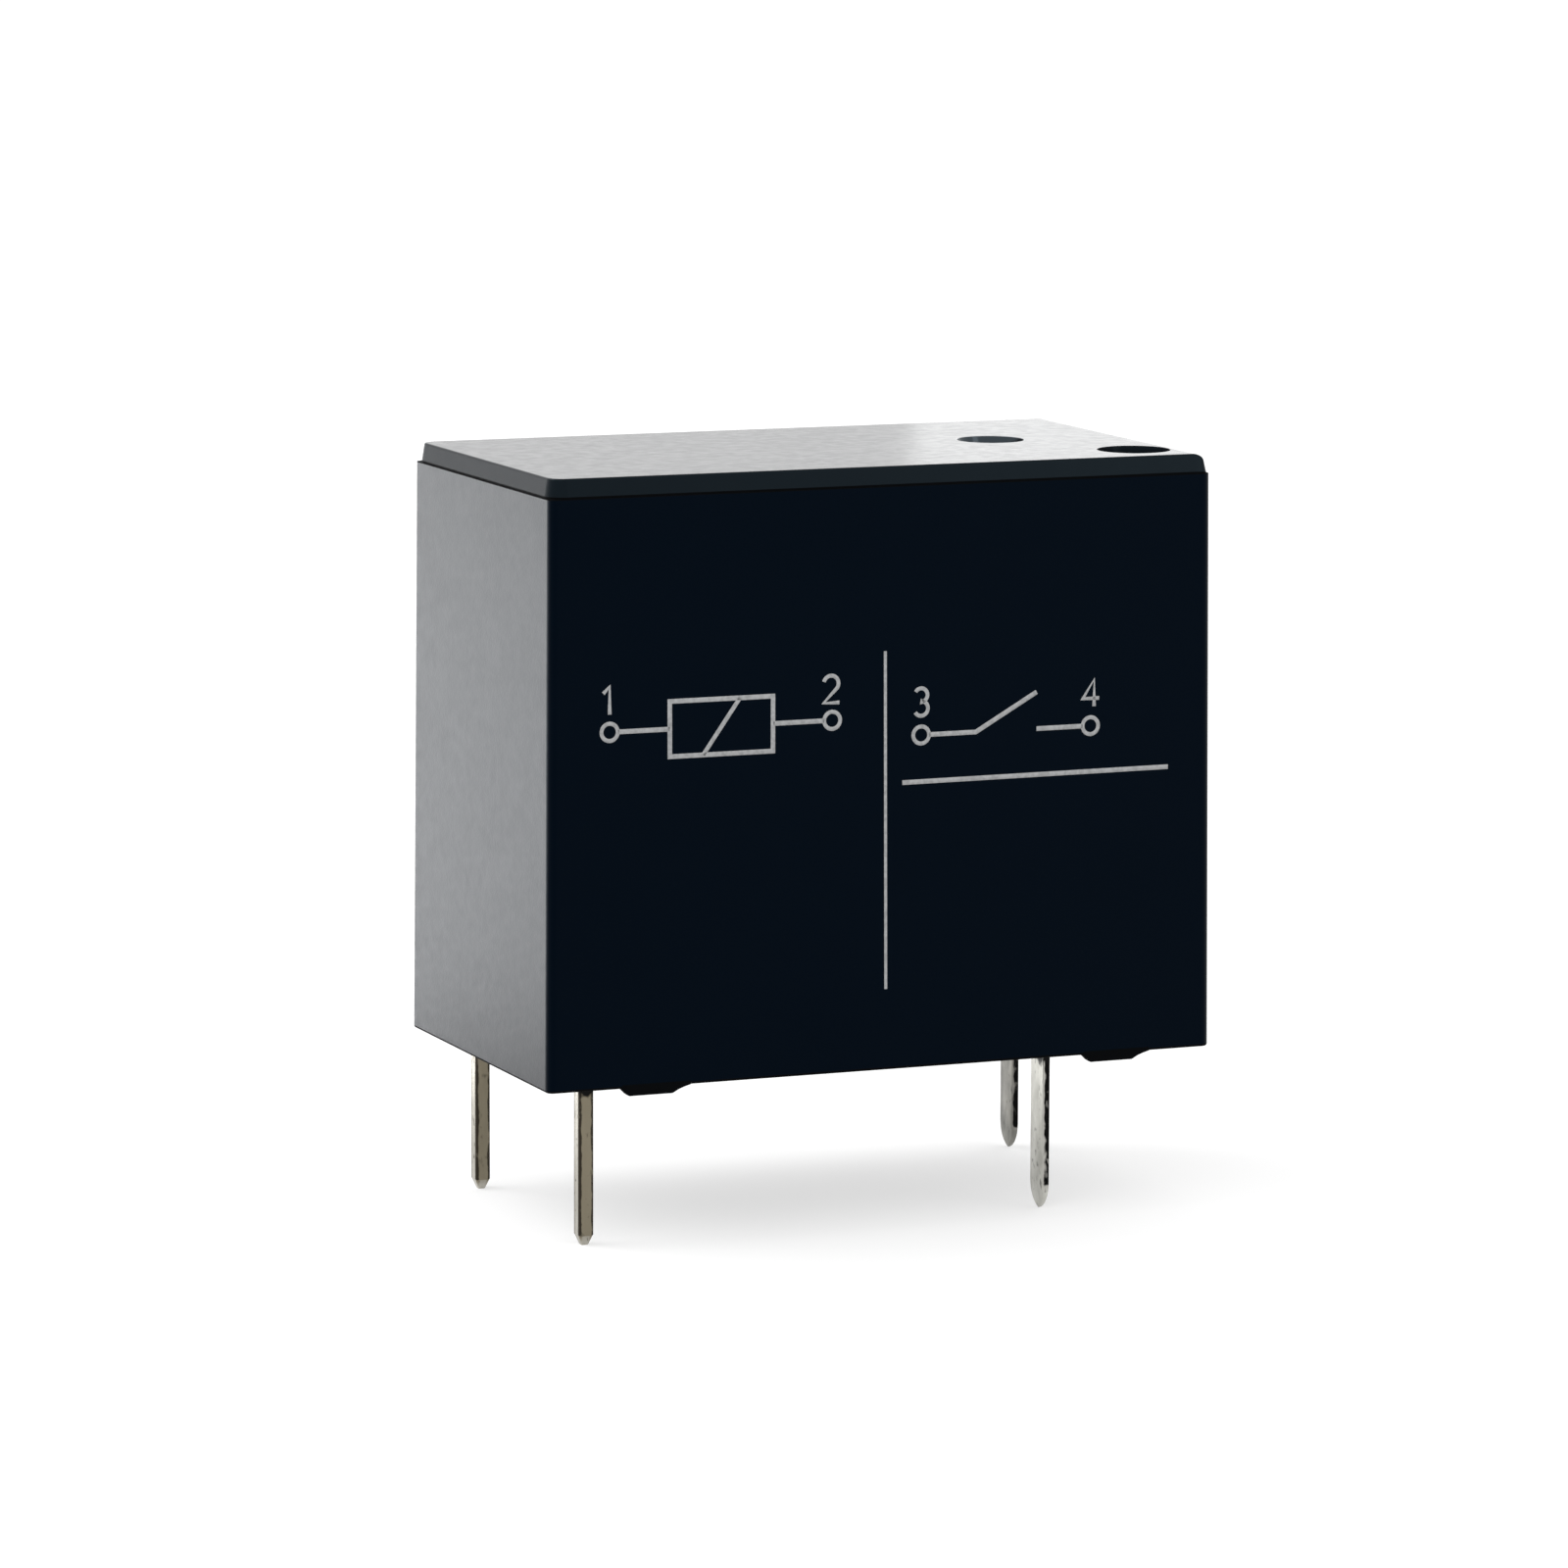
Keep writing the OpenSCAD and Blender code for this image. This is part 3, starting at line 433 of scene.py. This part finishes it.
def stamped_sheet(outline, x0, thick):
    """A flat sheet across x: both faces are the outline drawn in by the edge's roll, and between them a
    quarter round leads to the full outline. Near the pin's end both faces lean in, as coined. Returns the
    surfaces and their edge marks."""
    ahead = np.roll(outline, -1, axis=0) - outline
    ahead /= np.linalg.norm(ahead, axis=1, keepdims=True)
    outward = np.stack([ahead[:, 1], -ahead[:, 0]], axis=-1)
    mitre = outward + np.roll(outward, 1, axis=0)
    least_mitre, burr_side = 0.35, 0.3 * die_roll
    mitre /= np.maximum((mitre * outward).sum(axis=1, keepdims=True), least_mitre)
    up = outline[:, 1] - outline[:, 1].min()
    lean = coin_depth * np.clip(1 - up / coin_len, 0, 1)
    bend = np.linspace(0, np.pi / 2, 4)
    drawn_in = np.concatenate([die_roll * (1 - np.sin(bend)), [0.0, burr_side]])
    across = np.concatenate([die_roll * (1 - np.cos(bend)), [thick - burr_side, thick]])
    rings = []
    for inset, x in zip(drawn_in, across):
        depth = x0 + lean + (thick - 2 * lean) * x / thick
        rings.append(np.column_stack([depth, outline - mitre * inset]))
    clean_to, clean_fade = 1.2 * tip_len, 0.3 * tip_len
    clean = np.clip((clean_to - up) / clean_fade, 0, 1)
    mark = np.outer([0, 0.1, 0.45, 0.75, 1, 0.5], 1 - clean).ravel()
    surfaces = [(*skin(rings), 0)]
    for ring, upward in ((rings[0], False), (rings[-1], True)):
        laid_flat = ring[:, [1, 2, 0]] * [1, 1, 0]
        surfaces.append((ring, flat_face([laid_flat], upward), 0))
    return surfaces, [mark, np.zeros(len(outline)), np.zeros(len(outline))]


torn_black = (0.005, 0.005, 0.005)
front_tin = tin_finish("terminal_tin_front", bright=(0.58, 0.575, 0.53), dull=(0.42, 0.415, 0.38),
                       sheared_and_shade=(0.42, 0.41, 0.38), dark=torn_black, tear=1.1)
# The rear terminal's tin is a darker copy of the front one's: painted shade, standing in for the body's
# shadow over that pin.
shaded_rear_tin = tin_finish("terminal_tin_rear_shaded", bright=(0.32, 0.31, 0.28), dull=(0.20, 0.197, 0.18),
                      sheared_and_shade=(0.26, 0.25, 0.23), dark=torn_black, tear=1.02)
for name, side, tongue, tin in (("common_terminal", -1, False, front_tin),
                                ("fixed_terminal", 1, True, shaded_rear_tin)):
    low, high = (np.array(c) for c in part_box(name))
    surfaces, marks = stamped_sheet(terminal_outline(low, high, side, tongue), low[0], high[0] - low[0])
    make_piece(name + "_stamped", surfaces, [tin], stands_for=[name], marks=marks)

# Cover
# One deep box moulded in black polyester, pushed over the base and bonded by the resin under it. Its
# drafted walls have a fine spark-eroded texture; the raised crown, with one end rounded over, is smooth
# from the mould. The rim, the feet and the line at the crown's foot get a dull finish with almost no
# reflection, so they render black: painted shade along the rim's bottom edge, at the ends of the feet
# and at the crown's foot.
rim_w, rim_d, top_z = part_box("cover")[1]
rim_z, ledge_z, ceiling_z = 0.2 * mm, top_z - 0.5 * mm, top_z - 0.9 * mm
wall, draft, ledge, crown_lean, sink = 0.7 * mm, 0.1 * mm, 0.04 * mm, 0.07 * mm, 0.12 * mm
corner, rim_round, ledge_round, crown_edge = 0.2 * mm, 0.07 * mm, 0.022 * mm, 0.05 * mm
end_round, end_margin = 0.42 * mm, 0.006 * mm
least_wall_corner, least_crown_corner = 0.02 * mm, 0.03 * mm
crown_corners = np.array([0.2, 0.2, 0.45, 0.45]) * mm
crown_w, crown_d = rim_w - draft - ledge, rim_d - draft - ledge


def wall_ring(z, inset):
    """The case's outline at height z, drawn in by inset: the walls come in evenly from rim to ledge."""
    taper = inset + draft * (z - rim_z) / (ledge_z - rim_z)
    outline = rounded_outline(rim_w - taper, rim_d - taper, max(corner - inset, least_wall_corner))
    return at_height(outline, z)


def crown_ring(inset, share, drop):
    """The crown's outline drawn in by inset. Its height is a share of the way up to the local top, less
    drop; the local top is flat, and follows a quarter circle over the rounded end."""
    corners = np.maximum(crown_corners - inset, least_crown_corner)
    outline = rounded_outline(crown_w - inset, crown_d - inset, corners)
    past = np.clip(outline.real - (crown_w - end_round), 0, end_round)
    crest = top_z - end_round + np.sqrt(end_round ** 2 - past ** 2)
    return at_height(outline, ledge_z + share * (crest - drop - ledge_z))


quarter = np.linspace(0, np.pi / 2, 6)
rounded_in, rounded_up = 1 - np.sin(quarter), 1 - np.cos(quarter)
inside = [wall_ring(ceiling_z, wall), wall_ring(rim_z + sink, wall), wall_ring(rim_z, wall - sink)]
rim = [wall_ring(rim_z + rim_round * up, rim_round * far) for far, up in zip(rounded_in, rounded_up)]
wall_levels = (rim_z + 1.3 * rim_round, 5 * mm, 10 * mm, ledge_z - 1.4 * ledge_round)
walls = [wall_ring(z, 0) for z in wall_levels]
shoulder = [wall_ring(ledge_z - ledge_round * down, ledge_round * far)
            for down, far in zip(rounded_in, rounded_up)]
crown_side = [crown_ring(crown_lean * share, share, crown_edge) for share in (0, 0.1, 0.94, 1)]
crown_turn = [crown_ring(crown_lean + crown_edge * far, 1, crown_edge * down)
              for down, far in zip(rounded_in[1:], rounded_up[1:])]
crown_over = [crown_ring(inset, 1, 0)
              for inset in np.linspace(crown_lean + crown_edge, end_round, 8)[1:]]
crown_over.append(crown_ring(end_round + end_margin, 1, 0))


def recess(x, y, radius, depth, slope, boss_r, boss_h):
    """A round sinking as rings inwards: flat collar, rolled lip, wall that leans in by slope at the left
    and the rear and stands upright at the right and the front, filleted floor and a low boss in its
    middle."""
    collar, lip, fillet, facets = 0.016 * mm, 0.012 * mm, 0.08 * mm, 72
    boss_width = np.array([1.25, 1.0, 0.93, 0.6, 0.0])
    boss_height = np.array([0, 0.1, 0.75, 1.0, 0.9])
    floor = top_z - depth
    bend = np.linspace(0, np.pi / 2, 5)
    r = np.concatenate([[radius + collar], radius + lip * (1 - np.sin(bend)),
                        radius - slope / 2 - fillet * (1 - np.cos(bend)), boss_r * boss_width])
    z = np.concatenate([[top_z], top_z - lip * (1 - np.cos(bend)),
                        floor + fillet * (1 - np.sin(bend)), floor + boss_h * boss_height])
    shift = np.repeat([0, slope / 2 * (1 - 1j)], [1 + len(bend), len(bend) + len(boss_width)])
    circle = np.exp(1j * np.linspace(0, 2 * np.pi, facets + 1)[:-1])
    return [at_height(k * circle, h, complex(x, y) + s) for k, h, s in zip(r, z, shift)]


def stub(x, y, floor, radius, height):
    """What is left of the gate: a short round stub, waisted, with a torn edge higher on one side."""
    share = np.array([0, 0.15, 0.6, 0.92, 1.0, 0.9, 0.84])
    width = np.array([1.35, 1.08, 0.95, 0.9, 0.74, 0.45, 0.0])
    raggedness = np.array([0, 0.15, 0.6, 0.92, 1.0, 0.5, 0.0])
    facets = 32
    turn = np.linspace(0, 2 * np.pi, facets + 1)[:-1]
    torn = 0.16 * np.cos(turn - 2.0) + 0.06 * np.cos(3 * turn)
    z = floor + height * (share[:, None] + raggedness[:, None] * torn)
    return [at_height(radius * k * np.exp(1j * turn), h, complex(x, y)) for k, h in zip(width, z)]


def foot(x, y):
    """A small pad under the rim: outlines stacked from its flat underside up into the rim, with one steep
    end, one end that sweeps out, a rounded lower edge and wide corners towards the inside."""
    flat, steep, sweep, deep, roll = 1.25 * mm, 0.2 * mm, 0.45 * mm, 0.5 * mm, 0.04 * mm
    inner, outer, roll_share, sweep_power = 0.35 * mm, 0.03 * mm, 0.25, 1.8
    radii = np.array([outer, inner, inner, outer] if y < 0 else [inner, outer, outer, inner])
    rings = []
    for share in (0, 0.06, 0.25, 0.5, 0.75, 0.9, 1.0, 1.5):
        draw = roll * (1 - min(share / roll_share, 1)) ** 2
        left = -flat / 2 - steep * min(share, 1) + draw
        right = flat / 2 + sweep * min(share, 1) ** sweep_power - draw
        outline = rounded_outline((right - left) / 2, deep / 2 - draw, radii - draw / 2)
        rings.append(at_height(outline, share * rim_z, complex(x + (left + right) / 2, y)))
    return rings


def bar(x0, x1, y0, y1, z0, z1):
    """An upright square-edged bar, as two rings."""
    box = np.array([x0 + 1j * y0, x1 + 1j * y0, x1 + 1j * y1, x0 + 1j * y1])
    return [at_height(box, z) for z in (z0, z1)]


gate_x, gate_y, gate_depth, stub_off = 5.2 * mm, 0.25 * mm, 0.3 * mm, 0.33 * mm
gate = recess(gate_x, gate_y, radius=0.88 * mm, depth=gate_depth, slope=0.06 * mm,
              boss_r=0.6 * mm, boss_h=0.03 * mm)
gate_stub = stub(gate_x - stub_off, gate_y, top_z - gate_depth, radius=0.15 * mm, height=0.22 * mm)
vent_x, vent_y = 7.66 * mm, -3.35 * mm
vent = recess(vent_x, vent_y, radius=0.95 * mm, depth=0.6 * mm, slope=0,
              boss_r=0.42 * mm, boss_h=0.2 * mm)
flat_top = [crown_over[-1], gate[0], vent[0]]
textured, smooth, dull, glossy = range(4)
# The rim's rounding takes the dull finish as painted shade: a black line along the case's bottom edge.
surfaces = [(*skin(inside + rim), dull), (*lid(inside[0], False), dull),
            (*skin([rim[-1]] + walls + shoulder[:1]), textured),
            # The ledge and the lowest tenth of the crown's side take the dull finish as painted shade: a
            # black line at the crown's foot.
            (*skin(shoulder + crown_side[:2]), dull),
            (*skin(crown_side[1:] + crown_turn + crown_over), smooth),
            (np.concatenate(flat_top), flat_face(flat_top, True), smooth),
            (*skin(vent), smooth), (*skin(gate), glossy), (*skin(gate_stub), glossy),
            (*lid(gate_stub[0], False), glossy)]
foot_x, foot_y = 6.4 * mm, rim_d - 0.25 * mm
# Guide bars on the inside of both long walls, on either side of the base's barrier
bar_xs, bar_thick, bar_in, bar_out = (2.3616 * mm, 3.5116 * mm), 0.45 * mm, 3.95 * mm, 4.65 * mm
bar_foot, bar_top = 2.2 * mm, ceiling_z + 0.4 * mm
blocks = [foot(sx * foot_x, sy * foot_y) for sx in (-1, 1) for sy in (-1, 1)]
blocks += [bar(x, x + bar_thick, y0, y1, bar_foot, bar_top)
           for x in bar_xs for y0, y1 in ((-bar_out, -bar_in), (bar_in, bar_out))]
# The feet take the dull finish as painted shade, which keeps their ends black; the guide bars inside share
# it.
for rings in blocks:
    surfaces += [(*skin(rings), dull), (*lid(rings[0], False), dull), (*lid(rings[-1], True), dull)]

case_textured = new_finish("case_textured", {
    "IOR": 1.5, "Specular IOR Level": 0.06, "Specular Tint": (0.08, 0.42, 1.0, 1),
    "Sheen Weight": 1.0, "Sheen Roughness": 0.3, "Sheen Tint": (1.0, 1.0, 1.0, 1)})
sparks = grain(case_textured, 0.07, 2)
pigment = grain(case_textured, 1.5, 3)
feed(case_textured, {
    "Base Color": tint(case_textured, pigment, (0.0003, 0.0009, 0.0020), (0.0005, 0.0013, 0.0026)),
    "Roughness": span(case_textured, grain(case_textured, 0.25, 3), 0.42, 0.48),
    "Normal": relief(case_textured, sparks, 0.0015)})
case_smooth = new_finish("case_smooth", {
    "IOR": 1.5, "Specular IOR Level": 0.135, "Specular Tint": (0.6, 0.85, 1.0, 1)})
flow = grain(case_smooth, 3.0, 2, (2.5, 1, 1))
feed(case_smooth, {
    "Base Color": tint(case_smooth, flow, (0.0012, 0.0024, 0.0042), (0.0022, 0.0036, 0.0058)),
    "Roughness": span(case_smooth, grain(case_smooth, 0.3, 3), 0.2, 0.24),
    "Normal": relief(case_smooth, grain(case_smooth, 0.06, 2), 0.00006)})
# Almost no reflection: on the rim, the feet and the crown's foot this is painted shade; the inside of the
# case and the guide bars share it.
case_dull = new_finish("case_dull", {"IOR": 1.5, "Specular IOR Level": 0.02})
bloom = grain(case_dull, 0.4, 3)
feed(case_dull, {
    "Base Color": tint(case_dull, bloom, (0.0014, 0.0017, 0.0022), (0.0026, 0.0030, 0.0036)),
    "Roughness": span(case_dull, grain(case_dull, 0.2, 3), 0.5, 0.65),
    "Normal": relief(case_dull, grain(case_dull, 0.05, 2), 0.002)})
case_glossy = new_finish("case_glossy", {
    "IOR": 1.6, "Specular IOR Level": 0.6, "Specular Tint": (0.7, 0.87, 1.0, 1)})
swirl = grain(case_glossy, 0.3, 3)
feed(case_glossy, {
    "Base Color": tint(case_glossy, swirl, (0.0012, 0.0020, 0.0034), (0.0024, 0.0036, 0.0052)),
    "Roughness": span(case_glossy, grain(case_glossy, 0.2, 3), 0.08, 0.2),
    "Normal": relief(case_glossy, grain(case_glossy, 0.12, 2), 0.002)})
make_piece("cover_moulded", surfaces, [case_textured, case_smooth, case_dull, case_glossy],
           stands_for=["cover"])

# Sealing resin
# Black epoxy poured into the upturned case around the pins. It sets with a glossy, slightly wavy face
# that climbs the walls and every pin in a small meniscus.
pool_low, pool_high = (np.array(c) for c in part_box("sealing_resin"))
pool_gap, wave_height = 0.01 * mm, 0.012 * mm
wall_climb, wall_fade = 0.1 * mm, 0.22 * mm
pin_climb, pin_fade, most_climb = 0.2 * mm, 0.16 * mm, 0.24 * mm
coil_x, common_x, fixed_x, flat_thin = -7.75 * mm, 4.95 * mm, 7.49 * mm, 0.1 * mm
# Each pin's place and half sizes, in x and y
pins = ((coil_x, -pin_row, pin_half, pin_half), (coil_x, pin_row, pin_half, pin_half),
        (common_x, -pin_row, flat_thin, flat_half), (fixed_x, pin_row, flat_thin, flat_half))


def poured_face(columns, rows):
    """The resin's lower face on a grid in x and y: its height is the flat level, less a meniscus that
    falls off exponentially from the walls and from each pin, plus two slow waves: a sine along x times a
    cosine along y, and a weaker sine on a slant."""
    u, v = np.meshgrid(np.linspace(-1, 1, columns), np.linspace(-1, 1, rows), indexing="ij")
    x, y = u * (pool_high[0] - pool_gap), v * (pool_high[1] - pool_gap)
    to_wall = np.minimum(pool_high[0] - np.abs(x), pool_high[1] - np.abs(y))
    climb = wall_climb * np.exp(-to_wall / wall_fade)
    for pin_x, pin_y, half_x, half_y in pins:
        off_x = np.maximum(np.abs(x - pin_x) - half_x, 0)
        off_y = np.maximum(np.abs(y - pin_y) - half_y, 0)
        climb = climb + pin_climb * np.exp(-np.hypot(off_x, off_y) / pin_fade)
    long_wave = np.sin(x / (1.7 * mm)) * np.cos(y / (1.3 * mm) + 0.6)
    short_wave = 0.6 * np.sin(x / (0.6 * mm) + y / (0.9 * mm))
    waves = wave_height * (long_wave + short_wave)
    return np.stack([x, y, pool_low[2] - np.minimum(climb, most_climb) + waves], axis=-1)


pool = poured_face(columns=221, rows=125)
pool_edge = np.concatenate([pool[:, 0], pool[-1, 1:], pool[-2::-1, -1], pool[0, -2:0:-1]])
pool_roof = pool_edge * [1, 1, 0] + [0, 0, pool_high[2]]
seal_epoxy = new_finish("seal_epoxy", {"IOR": 1.55, "Specular IOR Level": 0.14})
mottle = grain(seal_epoxy, 1.1, 4)
feed(seal_epoxy, {
    "Base Color": tint(seal_epoxy, mottle, (0.006, 0.006, 0.007), (0.013, 0.013, 0.014)),
    "Roughness": span(seal_epoxy, grain(seal_epoxy, 0.8, 3), 0.2, 0.34),
    "Normal": relief(seal_epoxy, grain(seal_epoxy, 0.5, 2), 0.01)})
surfaces = [(*patch(pool), 0), (*skin([pool_edge, pool_roof]), 0), (*lid(pool_roof, True), 0)]
make_piece("resin_poured", surfaces, [seal_epoxy], stands_for=["sealing_resin"], sharp=50)

# Print
# Pale grey ink, pad-printed on the front wall: two rules that divide the face, and the wiring plan of
# coil and contact with plain terminal numbers. The ink lies on the texture as a thin, patchy film.
ink_lift, ink_edge = 0.007 * mm, 0.012 * mm
# Widths of the strokes, height of a figure and radius of a ring, in mm as all the paths are
fine, thin, medium, bold = 0.09, 0.11, 0.12, 0.13
figure_h, ring_r = 0.7, 0.22


def ink_stroke(path, width):
    """A thin raised ribbon along a path in x and z on the front wall: a low four-point profile, carried
    along the path on its mitred normals; a path that ends where it starts is closed, any other gets two
    ends."""
    path = np.asarray(path, float) * mm
    closed = np.allclose(path[0], path[-1])
    ahead = np.diff(path, axis=0)
    ahead /= np.linalg.norm(ahead, axis=1, keepdims=True)
    first, last = (ahead[-1:], ahead[:1]) if closed else (ahead[:1], ahead[-1:])
    before, after = np.concatenate([first, ahead]), np.concatenate([ahead, last])
    aside = np.stack([-before[:, 1] - after[:, 1], before[:, 0] + after[:, 0]], axis=-1)
    square = np.stack([-after[:, 1], after[:, 0]], axis=-1)
    least_mitre = 0.6
    aside /= np.maximum((aside * square).sum(axis=1, keepdims=True), least_mitre)
    half = width * mm / 2
    profile = np.array([-half, ink_edge - half, half - ink_edge, half])
    lift = np.array([-0.5, 1, 1, -0.5]) * ink_lift
    flat = path[:, None] + aside[:, None] * profile[:, None]
    wall_y = -rim_d + draft * (flat[..., 1] - rim_z) / (ledge_z - rim_z)
    points, quads = skin(np.stack([flat[..., 0], wall_y - lift, flat[..., 1]], axis=-1))
    if not closed:
        end = np.arange(len(profile))[None]
        quads = np.concatenate([quads, end[:, ::-1], end + len(points) - len(profile)])
    return points, quads[:, ::-1]


def circle_path(x, z, radius, start=0, stop=360):
    """Points around a centre from one angle to another, in degrees."""
    angle = np.radians(np.linspace(start, stop, 25))
    return np.stack([x + radius * np.cos(angle), z + radius * np.sin(angle)], axis=-1)


def figure(shape, x, z):
    """A plain figure drawn in a unit-high frame, placed at x and z."""
    return np.asarray(shape) * figure_h + [x, z]


one = [(0.02, 0.76), (0.26, 1.0), (0.26, 0.0)]
two = np.concatenate([circle_path(0.30, 0.70, 0.29, 165, -35), [(0.0, 0.0), (0.62, 0.0)]])
three = np.concatenate([circle_path(0.28, 0.75, 0.25, 150, -80), circle_path(0.28, 0.26, 0.27, 80, -150)])
four = [(0.46, 0.0), (0.46, 1.0), (0.0, 0.3), (0.66, 0.3)]
rules = [([(0.02, 2.3), (-0.02, 11.0)], fine), ([(0.46, 7.6), (7.93, 7.62)], bold)]
coil_plan = [([(-5.9, 8.6), (-3.1, 8.6), (-3.1, 10.0), (-5.9, 10.0), (-5.9, 8.6)], bold),
             ([(-5.0, 8.6), (-4.0, 10.0)], medium),
             ([(-7.3, 9.3), (-5.9, 9.3)], bold), ([(-3.1, 9.3), (-1.7, 9.3)], bold),
             (circle_path(-7.52, 9.3, ring_r), thin), (circle_path(-1.48, 9.3, ring_r), thin)]
contact_plan = [([(1.2, 8.8), (2.5, 8.8), (4.2, 9.75)], bold), ([(4.2, 8.8), (5.5, 8.8)], bold),
                (circle_path(0.98, 8.8, ring_r), thin), (circle_path(5.72, 8.8, ring_r), thin)]
numbers = [(figure(one, -7.7, 9.75), thin), (figure(two, -1.72, 9.75), thin),
           (figure(three, 0.78, 9.3), thin), (figure(four, 5.5, 9.3), thin)]
front_ink = new_finish("front_ink", {"IOR": 1.5, "Specular IOR Level": 0.2})
patches = span(front_ink, grain(front_ink, 0.12, 3), 0, 1, 0.35, 0.6)
feed(front_ink, {
    "Base Color": tint(front_ink, patches, (0.32, 0.325, 0.33), (0.43, 0.435, 0.44)),
    "Roughness": span(front_ink, grain(front_ink, 0.2), 0.5, 0.65),
    "Normal": relief(front_ink, grain(front_ink, 0.07, 2), 0.002)})
strokes = [(*ink_stroke(path, width), 0) for path, width in rules + coil_plan + contact_plan + numbers]
make_piece("front_print", strokes, [front_ink], sharp=60)

# Studio
# A white sweep in a white room: the relay stands on its pins, a lit table lies behind its left side, two
# soft lamps hang high on the left and front left, a pale panel stands front right for the crown's edge to
# mirror, and two more stand behind for its top.
floor_z, floor_half = solid_box[0][2], 4.0
floor_grey, floor_glow = 0.5, 0.55
white = (1, 1, 1, 1)
paper = bpy.data.materials.new("sweep_paper")
paper.use_nodes = True
paper.node_tree.nodes.clear()
ray = add_node(paper, "LightPath", {})
shown = add_node(paper, "Math", {0: ray.outputs["Is Camera Ray"], 1: ray.outputs["Is Glossy Ray"]},
                 operation="MAXIMUM")
shown = add_node(paper, "Math", {0: shown.outputs[0], 1: ray.outputs["Is Transmission Ray"]},
                 operation="MAXIMUM")
glow = add_node(paper, "Math", {0: shown.outputs[0], 1: floor_glow}, operation="MULTIPLY")
matt = add_node(paper, "BsdfDiffuse", {"Color": (floor_grey, floor_grey, floor_grey, 1)})
shine = add_node(paper, "Emission", {"Color": white, "Strength": glow.outputs[0]})
both = add_node(paper, "AddShader", {0: matt.outputs[0], 1: shine.outputs[0]})
below = add_node(paper, "NewGeometry", {}).outputs["Backfacing"]
clear = add_node(paper, "BsdfTransparent", {})
one_sided = add_node(paper, "MixShader", {0: below, 1: both.outputs[0], 2: clear.outputs[0]})
add_node(paper, "OutputMaterial", {"Surface": one_sided.outputs[0]})
floor_corners = np.array([(-1, -1, 0), (1, -1, 0), (1, 1, 0), (-1, 1, 0)]) * floor_half + [0, 0, floor_z]
sweep = bpy.data.meshes.new("sweep")
sweep.from_pydata(floor_corners.tolist(), [], [(0, 1, 2, 3)])
sweep.materials.append(paper)
sweep_floor = bpy.data.objects.new("sweep_floor", sweep)
bpy.context.scene.collection.objects.link(sweep_floor)

room = bpy.data.worlds.new("studio_room")
bpy.context.scene.world = room
room.use_nodes = True
room.node_tree.nodes.clear()
sky = add_node(room, "Background", {"Color": white, "Strength": 1.0})
add_node(room, "OutputWorld", {"Surface": sky.outputs[0]})


def soft_light(name, place, aim, wide, tall, radiance):
    """A rectangular lamp at place that faces aim; its power is radiance times pi times its area."""
    lamp = bpy.data.lights.new(name, "AREA")
    lamp.shape = "RECTANGLE"
    lamp.size, lamp.size_y = wide, tall
    lamp.energy = radiance * math.pi * wide * tall
    holder = bpy.data.objects.new(name, lamp)
    bpy.context.scene.collection.objects.link(holder)
    holder.location = place
    holder.rotation_euler = (Vector(aim) - Vector(place)).to_track_quat("-Z", "Y").to_euler()
    holder.visible_camera = False


table_x, table_y, table_z = -0.0853, 0.13, floor_z + 0.5 * mm
soft_light("softbox_left", (-0.40, 0.20, 0.52), (0, 0, 0.008), 0.5, 0.5, 2.5)
soft_light("softbox_front", (-0.25, -0.35, 0.45), (0, 0, 0.006), 0.35, 0.35, 0.8)
soft_light("table_left", (table_x, table_y, table_z), (table_x, table_y, 1), 0.149, 0.22, 5.6)
soft_light("panel_front", (0.15, -0.22, 0.09), (0, 0, 0.0155), 0.10, 0.12, 0.9)
soft_light("panel_back", (0.226, 0.55, 0.10), (0, 0, 0.01), 0.8, 0.2, 0.55)
soft_light("panel_right", (0.034, 0.030, 0.022), (0.008, 0.004, 0.0157), 0.036, 0.022, 0.7)

# Camera
# A long lens about 19 cm from the relay, to the left of its printed front and a little above it, turned
# a little about its own axis and shifted to the photograph's framing.
azimuth, elevation, tilt = math.radians(-22.6), math.radians(8.22), math.radians(0.24)
aim_point, distance = Vector((0, 0, 7.95 * mm)), 194.1 * mm
away = Vector((math.sin(azimuth) * math.cos(elevation), -math.cos(azimuth) * math.cos(elevation),
               math.sin(elevation)))
lens = bpy.data.cameras.new("photo_lens")
lens.lens, lens.sensor_width = 171, 36
lens.shift_x, lens.shift_y = -0.0163, -0.0258
lens.clip_start = 0.01
camera = bpy.data.objects.new("photo_camera", lens)
bpy.context.scene.collection.objects.link(camera)
stand = Matrix.Translation(aim_point + away * distance)
facing = (-away).to_track_quat("-Z", "Y").to_matrix().to_4x4()
camera.matrix_world = stand @ facing @ Matrix.Rotation(tilt, 4, "Z")
bpy.context.scene.camera = camera
bpy.context.scene.view_settings.view_transform = "Standard"
